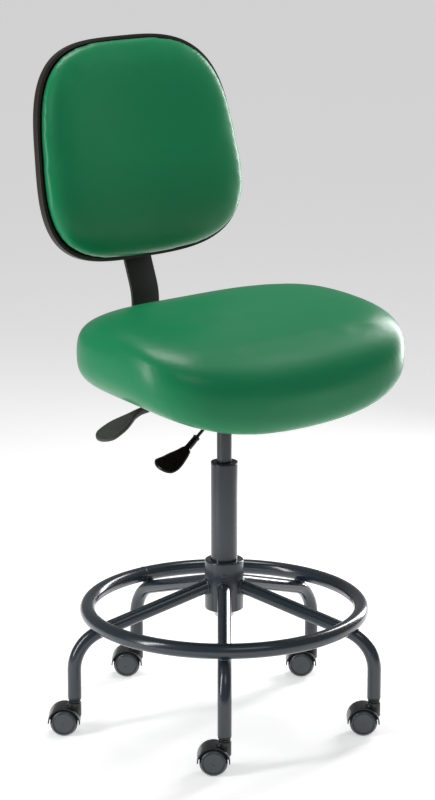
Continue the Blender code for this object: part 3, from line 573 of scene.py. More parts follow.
def finishes(context):
    """Every finish by name, made once."""
    if not FINISHES:
        colours = context.scene.chair_colours
        c = {name: tuple(getattr(colours, name)) for name in ChairColours.__annotations__}
        FINISHES.update({
            "green_vinyl": vinyl_finish(c["vinyl"]),
            "powder_coat": powder_finish(c["powder"]),
            "lift_steel": cylinder_finish(c["cylinder"]),
            "zinc": zinc_finish(c["zinc"]),
            "black_steel": bar_finish(c["bar"]),
            "bush_plastic": moulded_finish("black_bush_plastic", tint(c["nylon"], 0.5), 0.40, 900.0, 0.0001),
            "gloss_black": moulded_finish("gloss_black_lever", c["black"], 0.20, 500.0, 0.00001, 0.05),
            "grey_plastic": moulded_finish("grained_grey_lever", c["grey"], 0.42, 800.0, 0.0001),
            "shell_plastic": moulded_finish("grained_shell", c["shell"], 0.40, 520.0, 0.00016),
            "castor_plastic": moulded_finish("castor_hood_nylon", c["nylon"], 0.26, 900.0, 0.00006, 0.2),
            "castor_wheel": wheel_finish(c["wheel"]),
            "plywood": plywood_finish(),
        })
    return FINISHES


class ChairOperator(bpy.types.Operator):
    """What the chair's operators share."""
    bl_options = {"REGISTER", "UNDO"}


# ---------------------------------------------------------------- tube base

def leg_points(size, foot, count):
    """A leg's centreline: a straight fall from the hub, a quarter bend, then down to its castor."""
    out = foot - COLUMN
    out[2] = 0.0
    reach = np.linalg.norm(out[:2])
    out = unit(out)
    turn = pi / 2 - size.leg_slope
    centre = (reach - size.leg_bend,
              size.axis_height - reach * tan(size.leg_slope) - size.leg_bend * tan(turn / 2))
    a = np.linspace(turn, 0, count)
    start = extent("hub")[2] - 0.004
    first = np.array([[start, size.axis_height - start * tan(size.leg_slope)]])
    bend = np.array(centre) + size.leg_bend * arc(a)
    last = np.array([[reach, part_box("leg_1")[0].z]])
    line = np.vstack([first, bend, last])
    path = COLUMN + line[:, :1] * out + line[:, 1:] * UP
    return path, out, np.array([-out[1], out[0], 0.0]), centre


def bead_loop(name, loop, side, radius, ripples):
    """A weld bead: a small circle carried round a closed loop, its radius rippled along the way."""
    s = round_angles(len(loop))
    swell = radius * (1 + 0.13 * np.abs(np.sin(ripples * s / 2)) + 0.05 * np.sin(3 * s))
    section = swell[:, None, None] * circle(1.0, 10)[None]
    return swept(name, loop, side, section, ring=True)


class CHAIR_OT_legs(ChairOperator):
    """Five bent tubes and the beads that weld them to the hub"""
    bl_idname = "chair.legs"
    bl_label = "Legs"

    def execute(self, context):
        size = context.scene.chair_base
        hub_radius = extent("hub")[2]
        a = round_angles(96)
        for k, foot in enumerate(FEET, 1):
            path, out, across, _ = leg_points(size, foot, 24)
            tube = swept(f"leg_tube_{k}", path, across, circle(size.tube_radius, 40))
            show(tube, "powder_coat", "base", [f"leg_{k}"])
            aside = (size.tube_radius + 0.0006) * np.cos(a)
            r = np.sqrt((hub_radius + 0.0004) ** 2 - aside ** 2)
            height = (size.axis_height - r * tan(size.leg_slope)
                      + (size.tube_radius + 0.0006) * np.sin(a) / cos(size.leg_slope))
            loop = COLUMN + r[:, None] * out + aside[:, None] * across
            loop[:, 2] = height
            show(bead_loop(f"leg_weld_{k}", loop, 1.0001 * UP + out, size.bead, 44),
                 "powder_coat", "base")
        return {"FINISHED"}


class CHAIR_OT_foot_ring(ChairOperator):
    """The round foot ring, the beads that weld it to each leg and its own butt weld"""
    bl_idname = "chair.foot_ring"
    bl_label = "Foot ring"

    def execute(self, context):
        size = context.scene.chair_base
        low, high, _ = extent("foot_ring")
        height = (low + high) / 2
        path = hoop(size.ring_radius, height, 200)
        ring = swept("foot_ring_tube", path, (0, 0, 1), circle(size.ring_tube, 36), ring=True)
        show(ring, "powder_coat", "base", ["foot_ring"])
        s = round_angles(72)
        for k, foot in enumerate(FEET, 1):
            _, outward, across, centre = leg_points(size, foot, 4)
            lift = unit([size.ring_radius - centre[0], height - centre[1]])
            normal = outward * lift[0] + lift[1] * UP
            along = np.cross(normal, across)
            touch = (COLUMN + outward * centre[0] + centre[1] * UP
                     + normal * (size.leg_bend + size.tube_radius))
            p, q = 0.0078 * np.cos(s)[:, None], 0.0088 * np.sin(s)[:, None]
            sag = p ** 2 / (4 * size.ring_tube) - q ** 2 / (4 * size.tube_radius)
            loop = touch + p * along + q * across + sag * normal
            show(bead_loop(f"ring_weld_{k}", loop, normal, size.bead * 1.15, 22), "powder_coat", "base")
        seam = radians(85.5)
        spoke = np.array([cos(seam), sin(seam), 0.0])
        round_tube = circle(size.ring_tube - 0.0004, 60)
        loop = (COLUMN + spoke * size.ring_radius + height * UP
                + round_tube[:, :1] * spoke + round_tube[:, 1:] * UP)
        heading = np.array([-spoke[1], spoke[0], 0.0])
        show(bead_loop("ring_butt_weld", loop, heading, 0.0011, 30), "powder_coat", "base")
        return {"FINISHED"}


class CHAIR_OT_hub(ChairOperator):
    """The hub with its eased rims, and the plug in its front"""
    bl_idname = "chair.hub"
    bl_label = "Hub"

    def execute(self, context):
        low, high, radius = extent("hub")
        bore = extent("column_tube")[2] + GAP
        edge = 0.0035
        profile = rounded(four_corners(bore, radius, low, high), [0.0006, edge, edge, 0.0010], 7)
        show(spun("hub_barrel", profile, 96, COLUMN, ring=True), "powder_coat", "base", ["hub"])
        aim = radians(226)
        spoke = np.array([cos(aim), sin(aim), 0.0])
        centre = COLUMN + spoke * (radius - 0.0012) + (high - 0.024) * UP
        dome = rounded([(AXIS, 0.0), (0.0042, 0.0), (0.0042, 0.0018), (AXIS, 0.0024)], 0.0008, 4, False)
        show(spun("hub_plug", dome, 24, centre, spoke), "powder_coat", "base")
        loop = hoop(bore + 0.0008, low - 0.0002, 120)
        show(bead_loop("hub_lower_weld", loop, (0, 0, 1), 0.0018, 50), "powder_coat", "base")
        return {"FINISHED"}


class CHAIR_OT_column(ChairOperator):
    """The column tube, its bush, the lift cylinder and the clip under the hub"""
    bl_idname = "chair.column"
    bl_label = "Column"

    def execute(self, context):
        low, high, radius = extent("column_tube")
        wall = 0.0029
        tube = rounded(four_corners(radius - wall, radius, low, high), [0.0004, 0.0012, 0.0012, 0.0004], 5)
        show(spun("column_sleeve", tube, 96, COLUMN, ring=True), "powder_coat", "base",
             ["column_tube"])
        foot, top, _ = extent("column_bush")
        c_low, c_high, cylinder = extent("gas_cylinder")
        bore = cylinder + GAP
        seat = high + GAP
        collar = [(bore, foot), (radius - wall - GAP, foot), (radius - wall - GAP, seat), (radius, seat),
                  (radius, top), (bore + 0.0040, top), (bore, top - 0.0010)]
        show(spun("column_collar", rounded(collar, 0.0007, 4), 96, COLUMN, ring=True), "bush_plastic",
             "base", ["column_bush"])
        piston = rounded([(AXIS, c_low), (cylinder, c_low), (cylinder, c_high), (0.0045, c_high),
                          (0.0045, c_high - 0.01), (AXIS, c_high - 0.01)], 0.0010, 5, False)
        show(spun("lift_cylinder", piston, 72, COLUMN), "lift_steel", "control",
             ["gas_cylinder"])
        low, high, outer = extent("retaining_clip")
        inner = 0.0056
        clip = rounded(four_corners(inner, outer, low, high), 0.0008, 5)
        show(spun("lower_clip", clip, 72, COLUMN, ring=True), "zinc", "base",
             ["retaining_clip"])
        return {"FINISHED"}


# ---------------------------------------------------------------- castors

def castor_axes(k):
    """A castor's stem place, trailing direction and axle direction, from its joints."""
    foot = FEET[k - 1]
    centre = np.array(JOINTS[f"castor_{k}_wheel_left_spin"]["pos_m"])
    axle = np.array(JOINTS[f"castor_{k}_wheel_left_spin"]["axis"])
    trail = unit(np.array([centre[0] - foot[0], centre[1] - foot[1], 0.0]))
    return foot, centre, trail, axle


def neck_mesh(name, size, foot, trail, axle, top, low):
    """The neck: round at its collars, spreading into the hood through a fillet on the hood's side."""
    z = np.linspace(top, low, 26)[:, None]
    a = round_angles(48)[None]
    hood = size.wheel_radius + size.hood_clear + size.hood_thick
    shoulder = size.wheel_radius + sqrt(hood ** 2 - (size.trail - size.neck_radius) ** 2)
    flare = np.clip((shoulder + 0.006 - z) / 0.006, 0, 1)
    flare = 1 - np.sqrt(1 - flare ** 2)
    forward = np.clip(np.cos(a), 0, 1) ** 2
    grow = 1 + 0.45 * flare * forward
    widen = 1 + 0.25 * np.clip((shoulder - z) / 0.012, 0, 1) * np.abs(np.sin(a)) ** 2
    x = size.neck_radius * np.cos(a) * grow
    y = size.neck_radius * np.sin(a) * widen
    ease = size.neck_radius * 0.10 * np.clip(1 - (top - z) / 0.0015, 0, 1) ** 2
    shrink = 1 - ease / size.neck_radius
    grid = (np.array([foot[0], foot[1], 0.0]) + (x * shrink)[..., None] * trail
            + (y * shrink)[..., None] * axle + (z + 0 * a)[..., None] * UP)
    return surface(name, grid)


class CHAIR_OT_castors(ChairOperator):
    """Twin-wheel castors: stem collars, hood with web and neck, and two wheels each"""
    bl_idname = "chair.castors"
    bl_label = "Castors"

    def execute(self, context):
        size = context.scene.chair_castor
        for k in range(1, 6):
            foot, centre, trail, axle = castor_axes(k)
            self.stem(k, foot)
            self.housing(k, size, foot, centre, trail, axle)
            for side, name in ((1, "left"), (-1, "right")):
                self.wheel(k, side, name, size, centre, axle)
        return {"FINISHED"}

    def stem(self, k, foot):
        """Two collars between the castor's neck and the leg's end."""
        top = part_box(f"leg_{k}")[0].z - GAP / 2
        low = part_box(f"castor_{k}_housing")[1].z + GAP
        tall = top - low
        profile = [(AXIS, low - 0.012), (0.0044, low - 0.012), (0.0044, low), (0.0108, low),
                   (0.0112, low + 0.40 * tall), (0.0088, low + 0.44 * tall), (0.0088, low + 0.56 * tall),
                   (0.0124, low + 0.60 * tall), (0.0124, top), (0.0100, top), (0.0100, top + 0.02),
                   (AXIS, top + 0.02)]
        mesh = spun(f"castor_{k}_collars", rounded(profile, 0.0009, 5, False), 48, (foot[0], foot[1], 0.0))
        show(mesh, "castor_plastic", "base", [f"castor_{k}_stem"])

    def housing(self, k, size, foot, centre, trail, axle):
        """Hood: a thick strip bent round the axle. Web: a rounded plate. Neck: see its own function."""
        inner = size.wheel_radius + size.hood_clear
        outer = inner + size.hood_thick
        strip = rounded(four_corners(inner, outer, -CASTOR_HALF, CASTOR_HALF),
                        [0.0005, 0.0017, 0.0017, 0.0005], 6)
        a = np.radians(np.linspace(-3, 186, 72))
        spokes = np.cos(a)[:, None] * trail + np.sin(a)[:, None] * UP
        tuck = np.clip(np.minimum(a - a[0], a[-1] - a) / 0.035, 0, 1)
        tuck = np.sqrt(1 - (1 - tuck) ** 2)
        middle = strip.mean(0)
        section = middle + (strip - middle) * (0.35 + 0.65 * tuck)[:, None, None] ** np.array([1.0, 0.1])
        grid = centre + section[..., :1] * spokes[:, None] + section[..., 1:] * axle
        body = f"castor_{k}"
        hood = surface(f"castor_{k}_hood", grid)
        show(hood, "castor_plastic", body, [f"castor_{k}_housing"])
        rim = np.radians(np.linspace(4, 176, 40))
        dip = np.radians(np.linspace(190, 350, 24))
        outline = np.vstack([arc(rim) * (inner + outer) / 2, arc(dip) * 0.74 * size.wheel_radius])
        web = slab(f"castor_{k}_web", outline, 0.0039, 0.0006, centre, trail, (0, 0, 1), axle)
        show(web, "castor_plastic", body)
        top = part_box(f"castor_{k}_housing")[1].z
        neck = neck_mesh(f"castor_{k}_neck", size, foot, trail, axle, top, size.wheel_radius + 0.0095)
        show(neck, "castor_plastic", body)

    def wheel(self, k, side, name, size, centre, axle):
        """One wheel: rounded tread, a raised outer ring, a fine groove and a flat cap."""
        near, far = 0.0046, CASTOR_HALF
        r = size.wheel_radius
        profile = [(0.0035, near), (r - 0.0025, near), (r, near + 0.0030), (r, far - 0.0050),
                   (r - 0.0034, far - 0.0008), (r - 0.0046, far), (r - 0.0052, far),
                   (r - 0.0058, far - 0.0016), (r - 0.0066, far - 0.0016), (r - 0.0074, far - 0.0007),
                   (0.0040, far - 0.0007), (0.0035, far - 0.0012)]
        line = evenly(rounded(profile, 0.0007, 5, False), 110)
        line = np.vstack([[AXIS, near + AXIS], line, [AXIS, far - 0.0012]])
        line[:, 1] *= side
        mesh = spun(f"castor_{k}_{name}_wheel", line, 72, centre, axle)
        show(mesh, "castor_wheel", f"castor_{k}_wheel_{name}",
             [f"castor_{k}_wheel_{name}"])


# ---------------------------------------------------------------- seat control and levers

class CHAIR_OT_seat_control(ChairOperator):
    """Folded steel control, seat plate, bolts and board, with eased edges"""
    bl_idname = "chair.seat_control"
    bl_label = "Seat control"

    def execute(self, context):
        eased("control_channel", "control_housing", "black_steel", "control", 0.0007)
        eased("seat_mounting_plate", "seat_plate", "black_steel", "seat", 0.0007)
        eased("seat_ply_board", "seat_board", "plywood", "seat", 0.0008, 0.93)
        for n in range(1, 5):
            low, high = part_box(f"seat_bolt_{n}")
            centre = ((low.x + high.x) / 2, (low.y + high.y) / 2, 0.0)
            head = (high.x - low.x) / 2
            corners = np.array([(AXIS, low.z), (head * 0.86, low.z), (head, low.z + 0.0006),
                                (head, low.z + 0.004), (0.0034, low.z + 0.004), (0.0034, high.z),
                                (AXIS, high.z)])
            show(spun(f"seat_bolt_head_{n}", corners, 6, centre), "zinc", "seat",
                 [f"seat_bolt_{n}"], 20.0)
        return {"FINISHED"}


PADDLE_REACH = 0.117


def paddle_mesh(name, pivot, start, droop, reach, knots, power, recess, roll):
    """A lever's grip.

    Knots along it give (share of its length, rise, half width, half thickness). Each section is a squared
    circle square to the centreline, rolled forward by an angle that grows along the neck; a recess sinks the
    middle of its upper face and leaves a border.
    """
    share, rise, wide, thick = through(knots, 90).T
    tip = np.sqrt(np.clip(1 - (np.clip(share - 0.82, 0, 1) / 0.1802) ** 2, 0.0004, 1))
    wide, thick = wide * tip, thick * (0.3 + 0.7 * tip)
    x = start[0] - share * reach * cos(droop)
    z = start[1] - share * reach * sin(droop) + rise
    tilt = np.arctan2(-np.gradient(z), -np.gradient(x))
    a = round_angles(56)
    across, up = squared_circle(1.0, 1.0, power, a)
    sunk = recess * (1 - np.clip((np.abs(across) - 0.74) / 0.10, 0, 1)) * (up > 0)
    ends = np.clip((share - 0.34) / 0.05, 0, 1) * np.clip((0.95 - share) / 0.04, 0, 1)
    flat, height = wide[:, None] * across[None], thick[:, None] * up[None] - sunk[None] * ends[:, None]
    turn = (roll * np.clip((share - 0.15) / 0.25, 0, 1))[:, None]
    flat, height = flat * np.cos(turn) - height * np.sin(turn), flat * np.sin(turn) + height * np.cos(turn)
    grid = np.stack([x[:, None] - height * np.sin(tilt)[:, None], flat,
                     z[:, None] + height * np.cos(tilt)[:, None]], -1) + pivot
    return surface(name, grid)


def lever_rod_mesh(name, pivot, corners, radius):
    """A round bar bent through its corners, each bend eased."""
    line = rounded(np.array(corners) + pivot, 0.006, 9, closed=False)
    ahead = unit(np.gradient(line, axis=0))
    side = np.cross(ahead, (0.0, 0.0, 1.0))
    return swept(name, line, side, circle(radius, 24))


class CHAIR_OT_levers(ChairOperator):
    """The drooping gloss lever that frees the lift and the grey lever that frees the tilt"""
    bl_idname = "chair.levers"
    bl_label = "Levers"

    def execute(self, context):
        pivot = np.array(JOINTS["height_lever_lift"]["pos_m"])
        droop = radians(36.5)
        start = (-0.0645, -(0.0645 - 0.008) * tan(droop))
        knots = [(0.0, 0.0, 0.0056, 0.0056), (0.12, 0.0, 0.0060, 0.0060), (0.225, 0.0, 0.0064, 0.0062),
                 (0.28, 0.0002, 0.0110, 0.0066), (0.40, 0.0018, 0.0150, 0.0070),
                 (0.55, 0.0062, 0.0200, 0.0070), (0.70, 0.0112, 0.0232, 0.0066),
                 (0.85, 0.0195, 0.0240, 0.0060), (1.0, 0.030, 0.0215, 0.0050)]
        grip = paddle_mesh("height_grip", pivot, start, droop, PADDLE_REACH, knots, 2.3, 0.0, radians(20))
        show(grip, "gloss_black", "height_lever", ["height_lever_paddle"], 60.0)
        inner = (0.0535 - 0.002, 0.054 - 0.002, 0.0)
        end = (start[0] - 0.02 * cos(droop), 0.0, start[1] - 0.02 * sin(droop))
        rod = lever_rod_mesh("height_shaft", pivot, [end, (-0.008, 0, 0), (0.012, 0, 0), inner], 0.003)
        show(rod, "black_steel", "height_lever", ["height_lever_rod"])
        collar = [(0.0032, 0.0), (0.0066, 0.0004), (0.0068, 0.0040), (0.0058, 0.0046), (0.0032, 0.0046)]
        away = np.array([-cos(droop), 0.0, -sin(droop)])
        centre = pivot + np.array([start[0], 0.0, start[1]]) - away * 0.002
        show(spun("height_grip_collar", rounded(collar, 0.0006, 4), 32, centre, away, ring=True),
             "gloss_black", "height_lever")
        self.tilt()
        return {"FINISHED"}

    def tilt(self):
        """The upper lever: a straight shaft and a spoon with a bordered, recessed upper face."""
        pivot = np.array(JOINTS["tilt_lever_lift"]["pos_m"])
        droop = radians(1.5)
        start = (-0.0945, -0.0945 * tan(droop))
        knots = [(0.0, 0.0, 0.0062, 0.0060), (0.12, -0.0008, 0.0066, 0.0061), (0.22, -0.003, 0.0078, 0.0060),
                 (0.33, -0.0068, 0.0112, 0.0056), (0.45, -0.0120, 0.0172, 0.0053),
                 (0.58, -0.0176, 0.0226, 0.0052), (0.72, -0.0238, 0.0246, 0.0050),
                 (0.86, -0.0303, 0.0238, 0.0047), (1.0, -0.036, 0.0200, 0.0042)]
        grip = paddle_mesh("tilt_grip", pivot, start, droop, PADDLE_REACH, knots, 3.4, 0.0012, radians(6))
        show(grip, "grey_plastic", "tilt_lever", ["tilt_lever_paddle"], 50.0)
        end = (start[0] - 0.02 * cos(droop), 0.0, start[1] - 0.02 * sin(droop))
        rod = lever_rod_mesh("tilt_shaft", pivot, [end, (-0.03, 0, -0.03 * tan(droop)),
                                                   (0.02, 0, 0.02 * tan(droop))], 0.0038)
        show(rod, "black_steel", "tilt_lever", ["tilt_lever_rod"])


# ---------------------------------------------------------------- seat cushion

def relaxed(mesh, rounds):
    """Each point moved half way to the mean of its neighbours, several times."""
    work = bmesh.new()
    work.from_mesh(mesh)
    for _ in range(rounds):
        bmesh.ops.smooth_vert(work, verts=work.verts, factor=0.5, use_axis_x=True, use_axis_y=True,
                              use_axis_z=True)
    work.to_mesh(mesh)
    work.free()


COVER = {"quality": 6, "mass": 0.3, "tension_stiffness": 70, "compression_stiffness": 70,
         "bending_stiffness": 25, "vertex_group_mass": "held", "use_pressure": True,
         "uniform_pressure_force": 4}


def vectors_of(mesh, name):
    """One vector of each point of a mesh."""
    values = np.empty(len(mesh.vertices) * 3)
    mesh.vertices.foreach_get(name, values)
    return values.reshape(-1, 3)


def puffed(mesh, voxel, held, cap, rounds):
    """Foam under a tight cover, by cloth simulation.

    The form is remeshed in even cells and blown up by pressure with gravity off while its held points stay
    put. No point moves further than the cap, and the cover is relaxed afterwards.
    """
    pad = added(mesh.name + "_work", mesh)
    cells = pad.modifiers.new("even_cells", "REMESH")
    cells.mode = "VOXEL"
    cells.voxel_size = voxel
    even = bpy.data.meshes.new_from_object(pad.evaluated_get(bpy.context.evaluated_depsgraph_get()))
    pad.modifiers.clear()
    pad.data = even
    start = vectors_of(even, "co")
    group = pad.vertex_groups.new(name="held")
    group.add(np.flatnonzero(held(start)).tolist(), 1.0, "REPLACE")
    cloth = pad.modifiers.new("cover", "CLOTH")
    for name, value in COVER.items():
        setattr(cloth.settings, name, value)
    cloth.settings.effector_weights.gravity = 0
    cloth.collision_settings.use_collision = False
    for step in range(1, 21):
        bpy.context.scene.frame_set(step)
    shape = pad.evaluated_get(bpy.context.evaluated_depsgraph_get()).to_mesh()
    move = vectors_of(shape, "co") - start
    outward = vectors_of(even, "normal")
    start = start + outward * np.clip(np.einsum("ij,ij->i", move, outward), 0, cap)[:, None]
    pad.modifiers.clear()
    bpy.context.scene.frame_set(1)
    even.vertices.foreach_set("co", start.ravel())
    even.update()
    relaxed(even, rounds)
    even.name = mesh.name + "_cover"
    bpy.data.objects.remove(pad)
    return even


CELL = 0.006


def upholster(form, held, cap, rounds, body, node):
    """A cushion from its form: puffed, covered and subdivided once."""
    piece = show(puffed(form, CELL, held, cap, rounds), "green_vinyl", body, [node], 180.0)
    smooth = piece.modifiers.new("finer", "SUBSURF")
    smooth.levels = 1
    smooth.render_levels = 1


def seat_form(size, u, v, shrink):
    """The seat's form: x, y from a squared circle scaled by cos(v)^0.42; z from a widest line and a crown.

    The widest line is pitched, drops at the front and at the rear corners, and rises at the sides. The top
    swells by sin(v)^0.46 with a shallow hollow where the sitter sits, and the underside by sin(v)^0.8.
    """
    plan_x, plan_y = squared_circle(size.half_width - shrink, size.half_depth - shrink, 3.3, u)
    s = np.cos(v) ** 0.42
    x, y = plan_x * s, plan_y * s
    x = x * (1 - 0.026 * y / size.half_depth)
    front, rear = np.clip(-y / size.half_depth, 0, 1), np.clip(y / size.half_depth, 0, 1)
    corner = (x / size.half_width) ** 2
    widest = (y * tan(size.pitch) - size.front_drop * front ** 2 * (1 - 0.25 * corner)
              + size.side_rise * corner - size.corner_drop * rear ** 2 * corner)
    top = (size.crown - shrink) * np.abs(np.sin(v)) ** 0.46
    hollow = 0.006 * np.exp(-((x / 0.15) ** 2 + ((y - 0.04) / 0.12) ** 2))
    under = (size.under - shrink) * np.abs(np.sin(v)) ** 0.80 * (1 - 0.18 * front * corner)
    return x, y, widest + np.where(v > 0, top - hollow, -under)


class CHAIR_OT_seat_cushion(ChairOperator):
    """The waterfall seat cushion under a tight vinyl cover"""
    bl_idname = "chair.seat_cushion"
    bl_label = "Seat cushion"

    def execute(self, context):
        size = context.scene.chair_seat
        low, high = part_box("seat_board")
        rest = high.z + 0.0006
        seat_y = (low.y + high.y) / 2
        edge_z = low.z - 0.0033 + 0.0635
        u = round_angles(128)[None]
        v = np.radians(np.linspace(-88, 88, 72))[:, None]
        x, y, z = seat_form(size, u, v, 0.0015)
        wide, deep = 0.93 * (high.x - COLUMN[0]), 0.465 * (high.y - low.y)
        spread = (np.abs(x / wide) ** 3 + np.abs(y / deep) ** 3) ** (1 / 3)
        inside = 1 - np.clip((spread - 0.97) / 0.06, 0, 1)
        z = z + edge_z
        below = (v < 0) * inside
        z = z * (1 - below) + np.maximum(z, rest) * below
        z = np.where((v < 0) & (inside > 0.99), rest, z)
        grid = np.stack([COLUMN[0] + x, seat_y + y, z], -1)

        def held(points):
            return (points[:, 2] < rest + 0.004) & (np.abs(points[:, 0] - COLUMN[0]) < high.x - COLUMN[0])

        upholster(surface("seat_pad", grid), held, 0.0025, 10, "seat", "seat_cushion")
        return {"FINISHED"}


# ---------------------------------------------------------------- backrest

def back_place(size, x, v, n):
    """Points of the backrest: x across, v up its leaning plane, n forward of it; the plane bows with x."""
    n = n + size.wrap * (x / size.half_width) ** 2
    y = BACK_Y - n * np.cos(size.lean) + v * np.sin(size.lean)
    z = BACK_Z + v * np.cos(size.lean) + n * np.sin(size.lean)
    return np.stack([COLUMN[0] + x, COLUMN[1] + y, z], -1)


def back_grid(size, stations, lumbar, count=144, bulge=0.0):
    """The backrest's outline scaled by each station's share and set forward by its depth.

    The outline is a squared circle that narrows towards the top. What stands in front of the rim is thinned
    towards the top by the lumbar share, and swells by the bulge at the small of the back.
    """
    u = round_angles(count)
    x, v = squared_circle(size.half_width, size.half_height, 3.25, u)
    x = x * (1 - 0.075 * v / size.half_height)
    s, n = np.asarray(stations, float).T
    proud = np.maximum(n - 0.015, 0.0)[:, None]
    height = v[None] * s[:, None] / size.half_height
    swell = np.exp(-((height + 0.30) / 0.42) ** 2) * np.clip(1 - s[:, None] ** 2, 0, 1) * (proud > 0.01)
    depth = n[:, None] - proud * lumbar * height + bulge * swell
    return back_place(size, x[None] * s[:, None], v[None] * s[:, None], depth)


BAR_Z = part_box("j_bar")[0].z + 0.003
BACK_Z = BAR_Z + 0.4475
BACK_Y = 0.2760


class CHAIR_OT_back_shell(ChairOperator):
    """The moulded shell behind the back cushion, with its deep rolled rim, and the board inside it"""
    bl_idname = "chair.back_shell"
    bl_label = "Back shell"

    def execute(self, context):
        size = context.scene.chair_back
        outline = [(0.02, -0.008), (0.93, -0.008), (0.985, -0.0036), (1.0, 0.002), (1.0, 0.014),
                   (0.967, 0.014), (0.940, -0.0045), (0.02, -0.0045)]
        line = rounded(outline, [0.0, 0.02, 0.008, 0.006, 0.0014, 0.0014, 0.003, 0.0], 7, closed=False)
        stations = np.vstack([evenly(line[:8], 26), line[8:-7], evenly(line[-7:], 20)])
        shell = surface("back_shell_moulding", back_grid(size, stations, 0.0))
        show(shell, "shell_plastic", "backrest", ["back_shell"], 60.0)
        eased("back_ply_board", "back_board", "plywood", "backrest", 0.0006)
        return {"FINISHED"}


class CHAIR_OT_back_cushion(ChairOperator):
    """The back cushion: full at the small of the back, thinner at the top, tucked behind the shell's rim"""
    bl_idname = "chair.back_cushion"
    bl_label = "Back cushion"

    def execute(self, context):
        size = context.scene.chair_back
        base = 0.0057
        knots = [(0.02, base), (0.30, base), (0.60, base), (0.91, base), (0.945, 0.009), (0.958, 0.0145),
                 (0.973, 0.0180), (0.980, 0.0225), (0.972, 0.0290), (0.940, 0.0355), (0.87, 0.0415),
                 (0.74, 0.0465), (0.54, 0.0490), (0.27, 0.0495), (0.02, 0.0495)]
        grid = back_grid(size, through(knots, 84), 0.28, 160, 0.007)

        def held(points):
            forward, raised = BACK_Y + COLUMN[1] - points[:, 1], points[:, 2] - BACK_Z
            ahead = forward * cos(size.lean) + raised * sin(size.lean)
            bowed = ahead - size.wrap * ((points[:, 0] - COLUMN[0]) / size.half_width) ** 2
            return bowed < 0.017

        upholster(surface("back_pad", grid), held, 0.0018, 16, "backrest", "back_cushion")
        return {"FINISHED"}


def bar_line(lean):
    """The bar's centreline: level, a quarter bend, upright, an eased break, then leaning back."""
    upright, bend, ease = 0.2260, 0.0450, 0.1200
    a = np.linspace(-pi / 2, 0, 16)
    corner = np.array([upright - bend, BAR_Z + bend]) + bend * arc(a)
    b = np.linspace(pi, pi - lean, 12)
    break_z = BAR_Z + 0.1515
    eased_back = np.array([upright + ease, break_z]) + ease * arc(b)
    top = BAR_Z + 0.4290
    last = eased_back[-1]
    end = [last[0] + (top - last[1]) * tan(lean), top]
    return np.vstack([[[0.1120, BAR_Z]], corner, eased_back, [end]])


class CHAIR_OT_back_bar(ChairOperator):
    """The flat steel bar that carries the backrest, its fork and the socket it slides in"""
    bl_idname = "chair.back_bar"
    bl_label = "Back bar"

    def execute(self, context):
        size = context.scene.chair_back
        line = bar_line(size.bar_lean)
        path = np.stack([np.full(len(line), COLUMN[0]), COLUMN[1] + line[:, 0], line[:, 1]], -1)
        half, thin = size.bar_width / 2, size.bar_thick / 2
        section = rounded(four_corners(-half, half, -thin, thin), 0.0013, 6)
        show(swept("back_bar_strip", path, (1, 0, 0), section), "black_steel", "back_arm", ["j_bar"], 40.0)
        eased("back_fork", "back_yoke", "black_steel", "back_arm", 0.0007)
        eased("back_socket", "back_bracket", "shell_plastic", "backrest", 0.0022)
        return {"FINISHED"}


# ---------------------------------------------------------------- hardware and stage

class CHAIR_OT_hardware(ChairOperator):
    """Finishes for the pins, axles and bearings that keep their frame shapes"""
    bl_idname = "chair.hardware"
    bl_label = "Hardware"

    def execute(self, context):
        looks = finishes(context)
        slots = {row["node"]: row["material_slot"] for row in frame["record"]["subparts"]}
        for name, node in frame["nodes"].items():
            if not node.hide_render:
                node.data.materials.clear()
                node.data.materials.append(looks[slots[name]])
        return {"FINISHED"}


def softbox(name, place, target, width, height, power):
    """An area light aimed at a point."""
    light = bpy.data.lights.new(name, "AREA")
    light.shape = "RECTANGLE"
    light.size = width
    light.size_y = height
    light.energy = power
    lamp = added(name, light)
    lamp.location = place
    lamp.rotation_euler = (Vector(target) - Vector(place)).to_track_quat("-Z", "Y").to_euler()


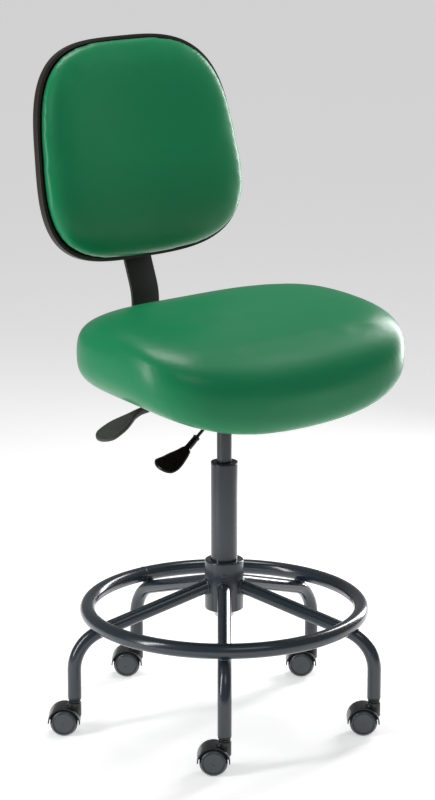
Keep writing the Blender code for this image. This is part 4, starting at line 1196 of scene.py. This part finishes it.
class CHAIR_OT_stage(ChairOperator):
    """Pale floor, softboxes, world light and camera"""
    bl_idname = "chair.stage"
    bl_label = "Stage"

    def execute(self, context):
        u = round_angles(64)[None]
        r = np.array([0.2, 14.0, 14.0, 0.2])[:, None]
        z = np.array([-0.0002, -0.0002, -0.05, -0.05])[:, None]
        grid = np.stack([r * np.cos(u), r * np.sin(u), z + 0 * u], -1)
        floor = added("studio_floor", surface("studio_floor", grid))
        floor.data.materials.append(floor_finish(tuple(context.scene.chair_colours.floor)))
        heading = radians(42.0)
        ahead = np.array([sin(heading), cos(heading), 0.0])
        right = np.array([cos(heading), -sin(heading), 0.0])
        middle = COLUMN + UP * 0.75
        softbox("left_softbox", middle - right * 1.8 - ahead * 1.0 + UP * 0.6, middle, 0.30, 1.9, 26)
        softbox("right_softbox", middle + right * 1.3 + ahead * 1.5 + UP * 0.4, middle, 0.40, 1.8, 34)
        softbox("front_fill", middle - ahead * 2.4 + right * 1.0 + UP * 2.4, middle, 1.8, 1.2, 11)
        softbox("top_softbox", middle + UP * 2.3 + ahead * 0.5, middle, 1.4, 0.8, 32)
        world = bpy.data.worlds.new("studio_white")
        world.use_nodes = True
        background = world.node_tree.nodes["Background"]
        background.inputs["Color"].default_value = (1.0, 1.0, 1.0, 1.0)
        background.inputs["Strength"].default_value = 0.22
        context.scene.world = world
        context.scene.view_settings.view_transform = "Standard"
        data = bpy.data.cameras.new("camera")
        data.lens = 125.2
        data.sensor_width = 36.0
        camera = added("camera", data)
        camera.location = COLUMN - right * 0.0128 - ahead * 5.065 + UP * 1.8805
        camera.rotation_euler = (pi / 2 - 0.2426, 0.0, -heading)
        context.scene.camera = camera
        return {"FINISHED"}


GROUPS = {"chair_base": ChairBaseSizes, "chair_castor": ChairCastorSizes, "chair_seat": ChairSeatSizes,
          "chair_back": ChairBackSizes, "chair_colours": ChairColours}
OPERATORS = [CHAIR_OT_legs, CHAIR_OT_foot_ring, CHAIR_OT_hub, CHAIR_OT_column, CHAIR_OT_castors,
             CHAIR_OT_seat_control, CHAIR_OT_levers, CHAIR_OT_seat_cushion, CHAIR_OT_back_shell,
             CHAIR_OT_back_cushion, CHAIR_OT_back_bar, CHAIR_OT_hardware, CHAIR_OT_stage]


class CHAIR_PT_panel(bpy.types.Panel):
    """The chair's operators and sizes in the sidebar"""
    bl_idname = "CHAIR_PT_panel"
    bl_label = "Drafting chair"
    bl_space_type = "VIEW_3D"
    bl_region_type = "UI"
    bl_category = "Chair"

    def draw(self, context):
        for group, kind in GROUPS.items():
            column = self.layout.column(heading=kind.__name__)
            for name in kind.__annotations__:
                column.prop(getattr(context.scene, group), name)
        for operator in OPERATORS:
            self.layout.operator(operator.bl_idname)


def register():
    for kind in [*GROUPS.values(), *OPERATORS, CHAIR_PT_panel]:
        bpy.utils.register_class(kind)
    for group, kind in GROUPS.items():
        setattr(bpy.types.Scene, group, bpy.props.PointerProperty(type=kind))


def unregister():
    for group in GROUPS:
        delattr(bpy.types.Scene, group)
    for kind in [CHAIR_PT_panel, *OPERATORS[::-1], *list(GROUPS.values())[::-1]]:
        bpy.utils.unregister_class(kind)


def main():
    """Build every piece in order."""
    register()
    for operator in OPERATORS:
        section, name = operator.bl_idname.split(".")
        getattr(getattr(bpy.ops, section), name)()


if __name__ == "__main__":
    main()
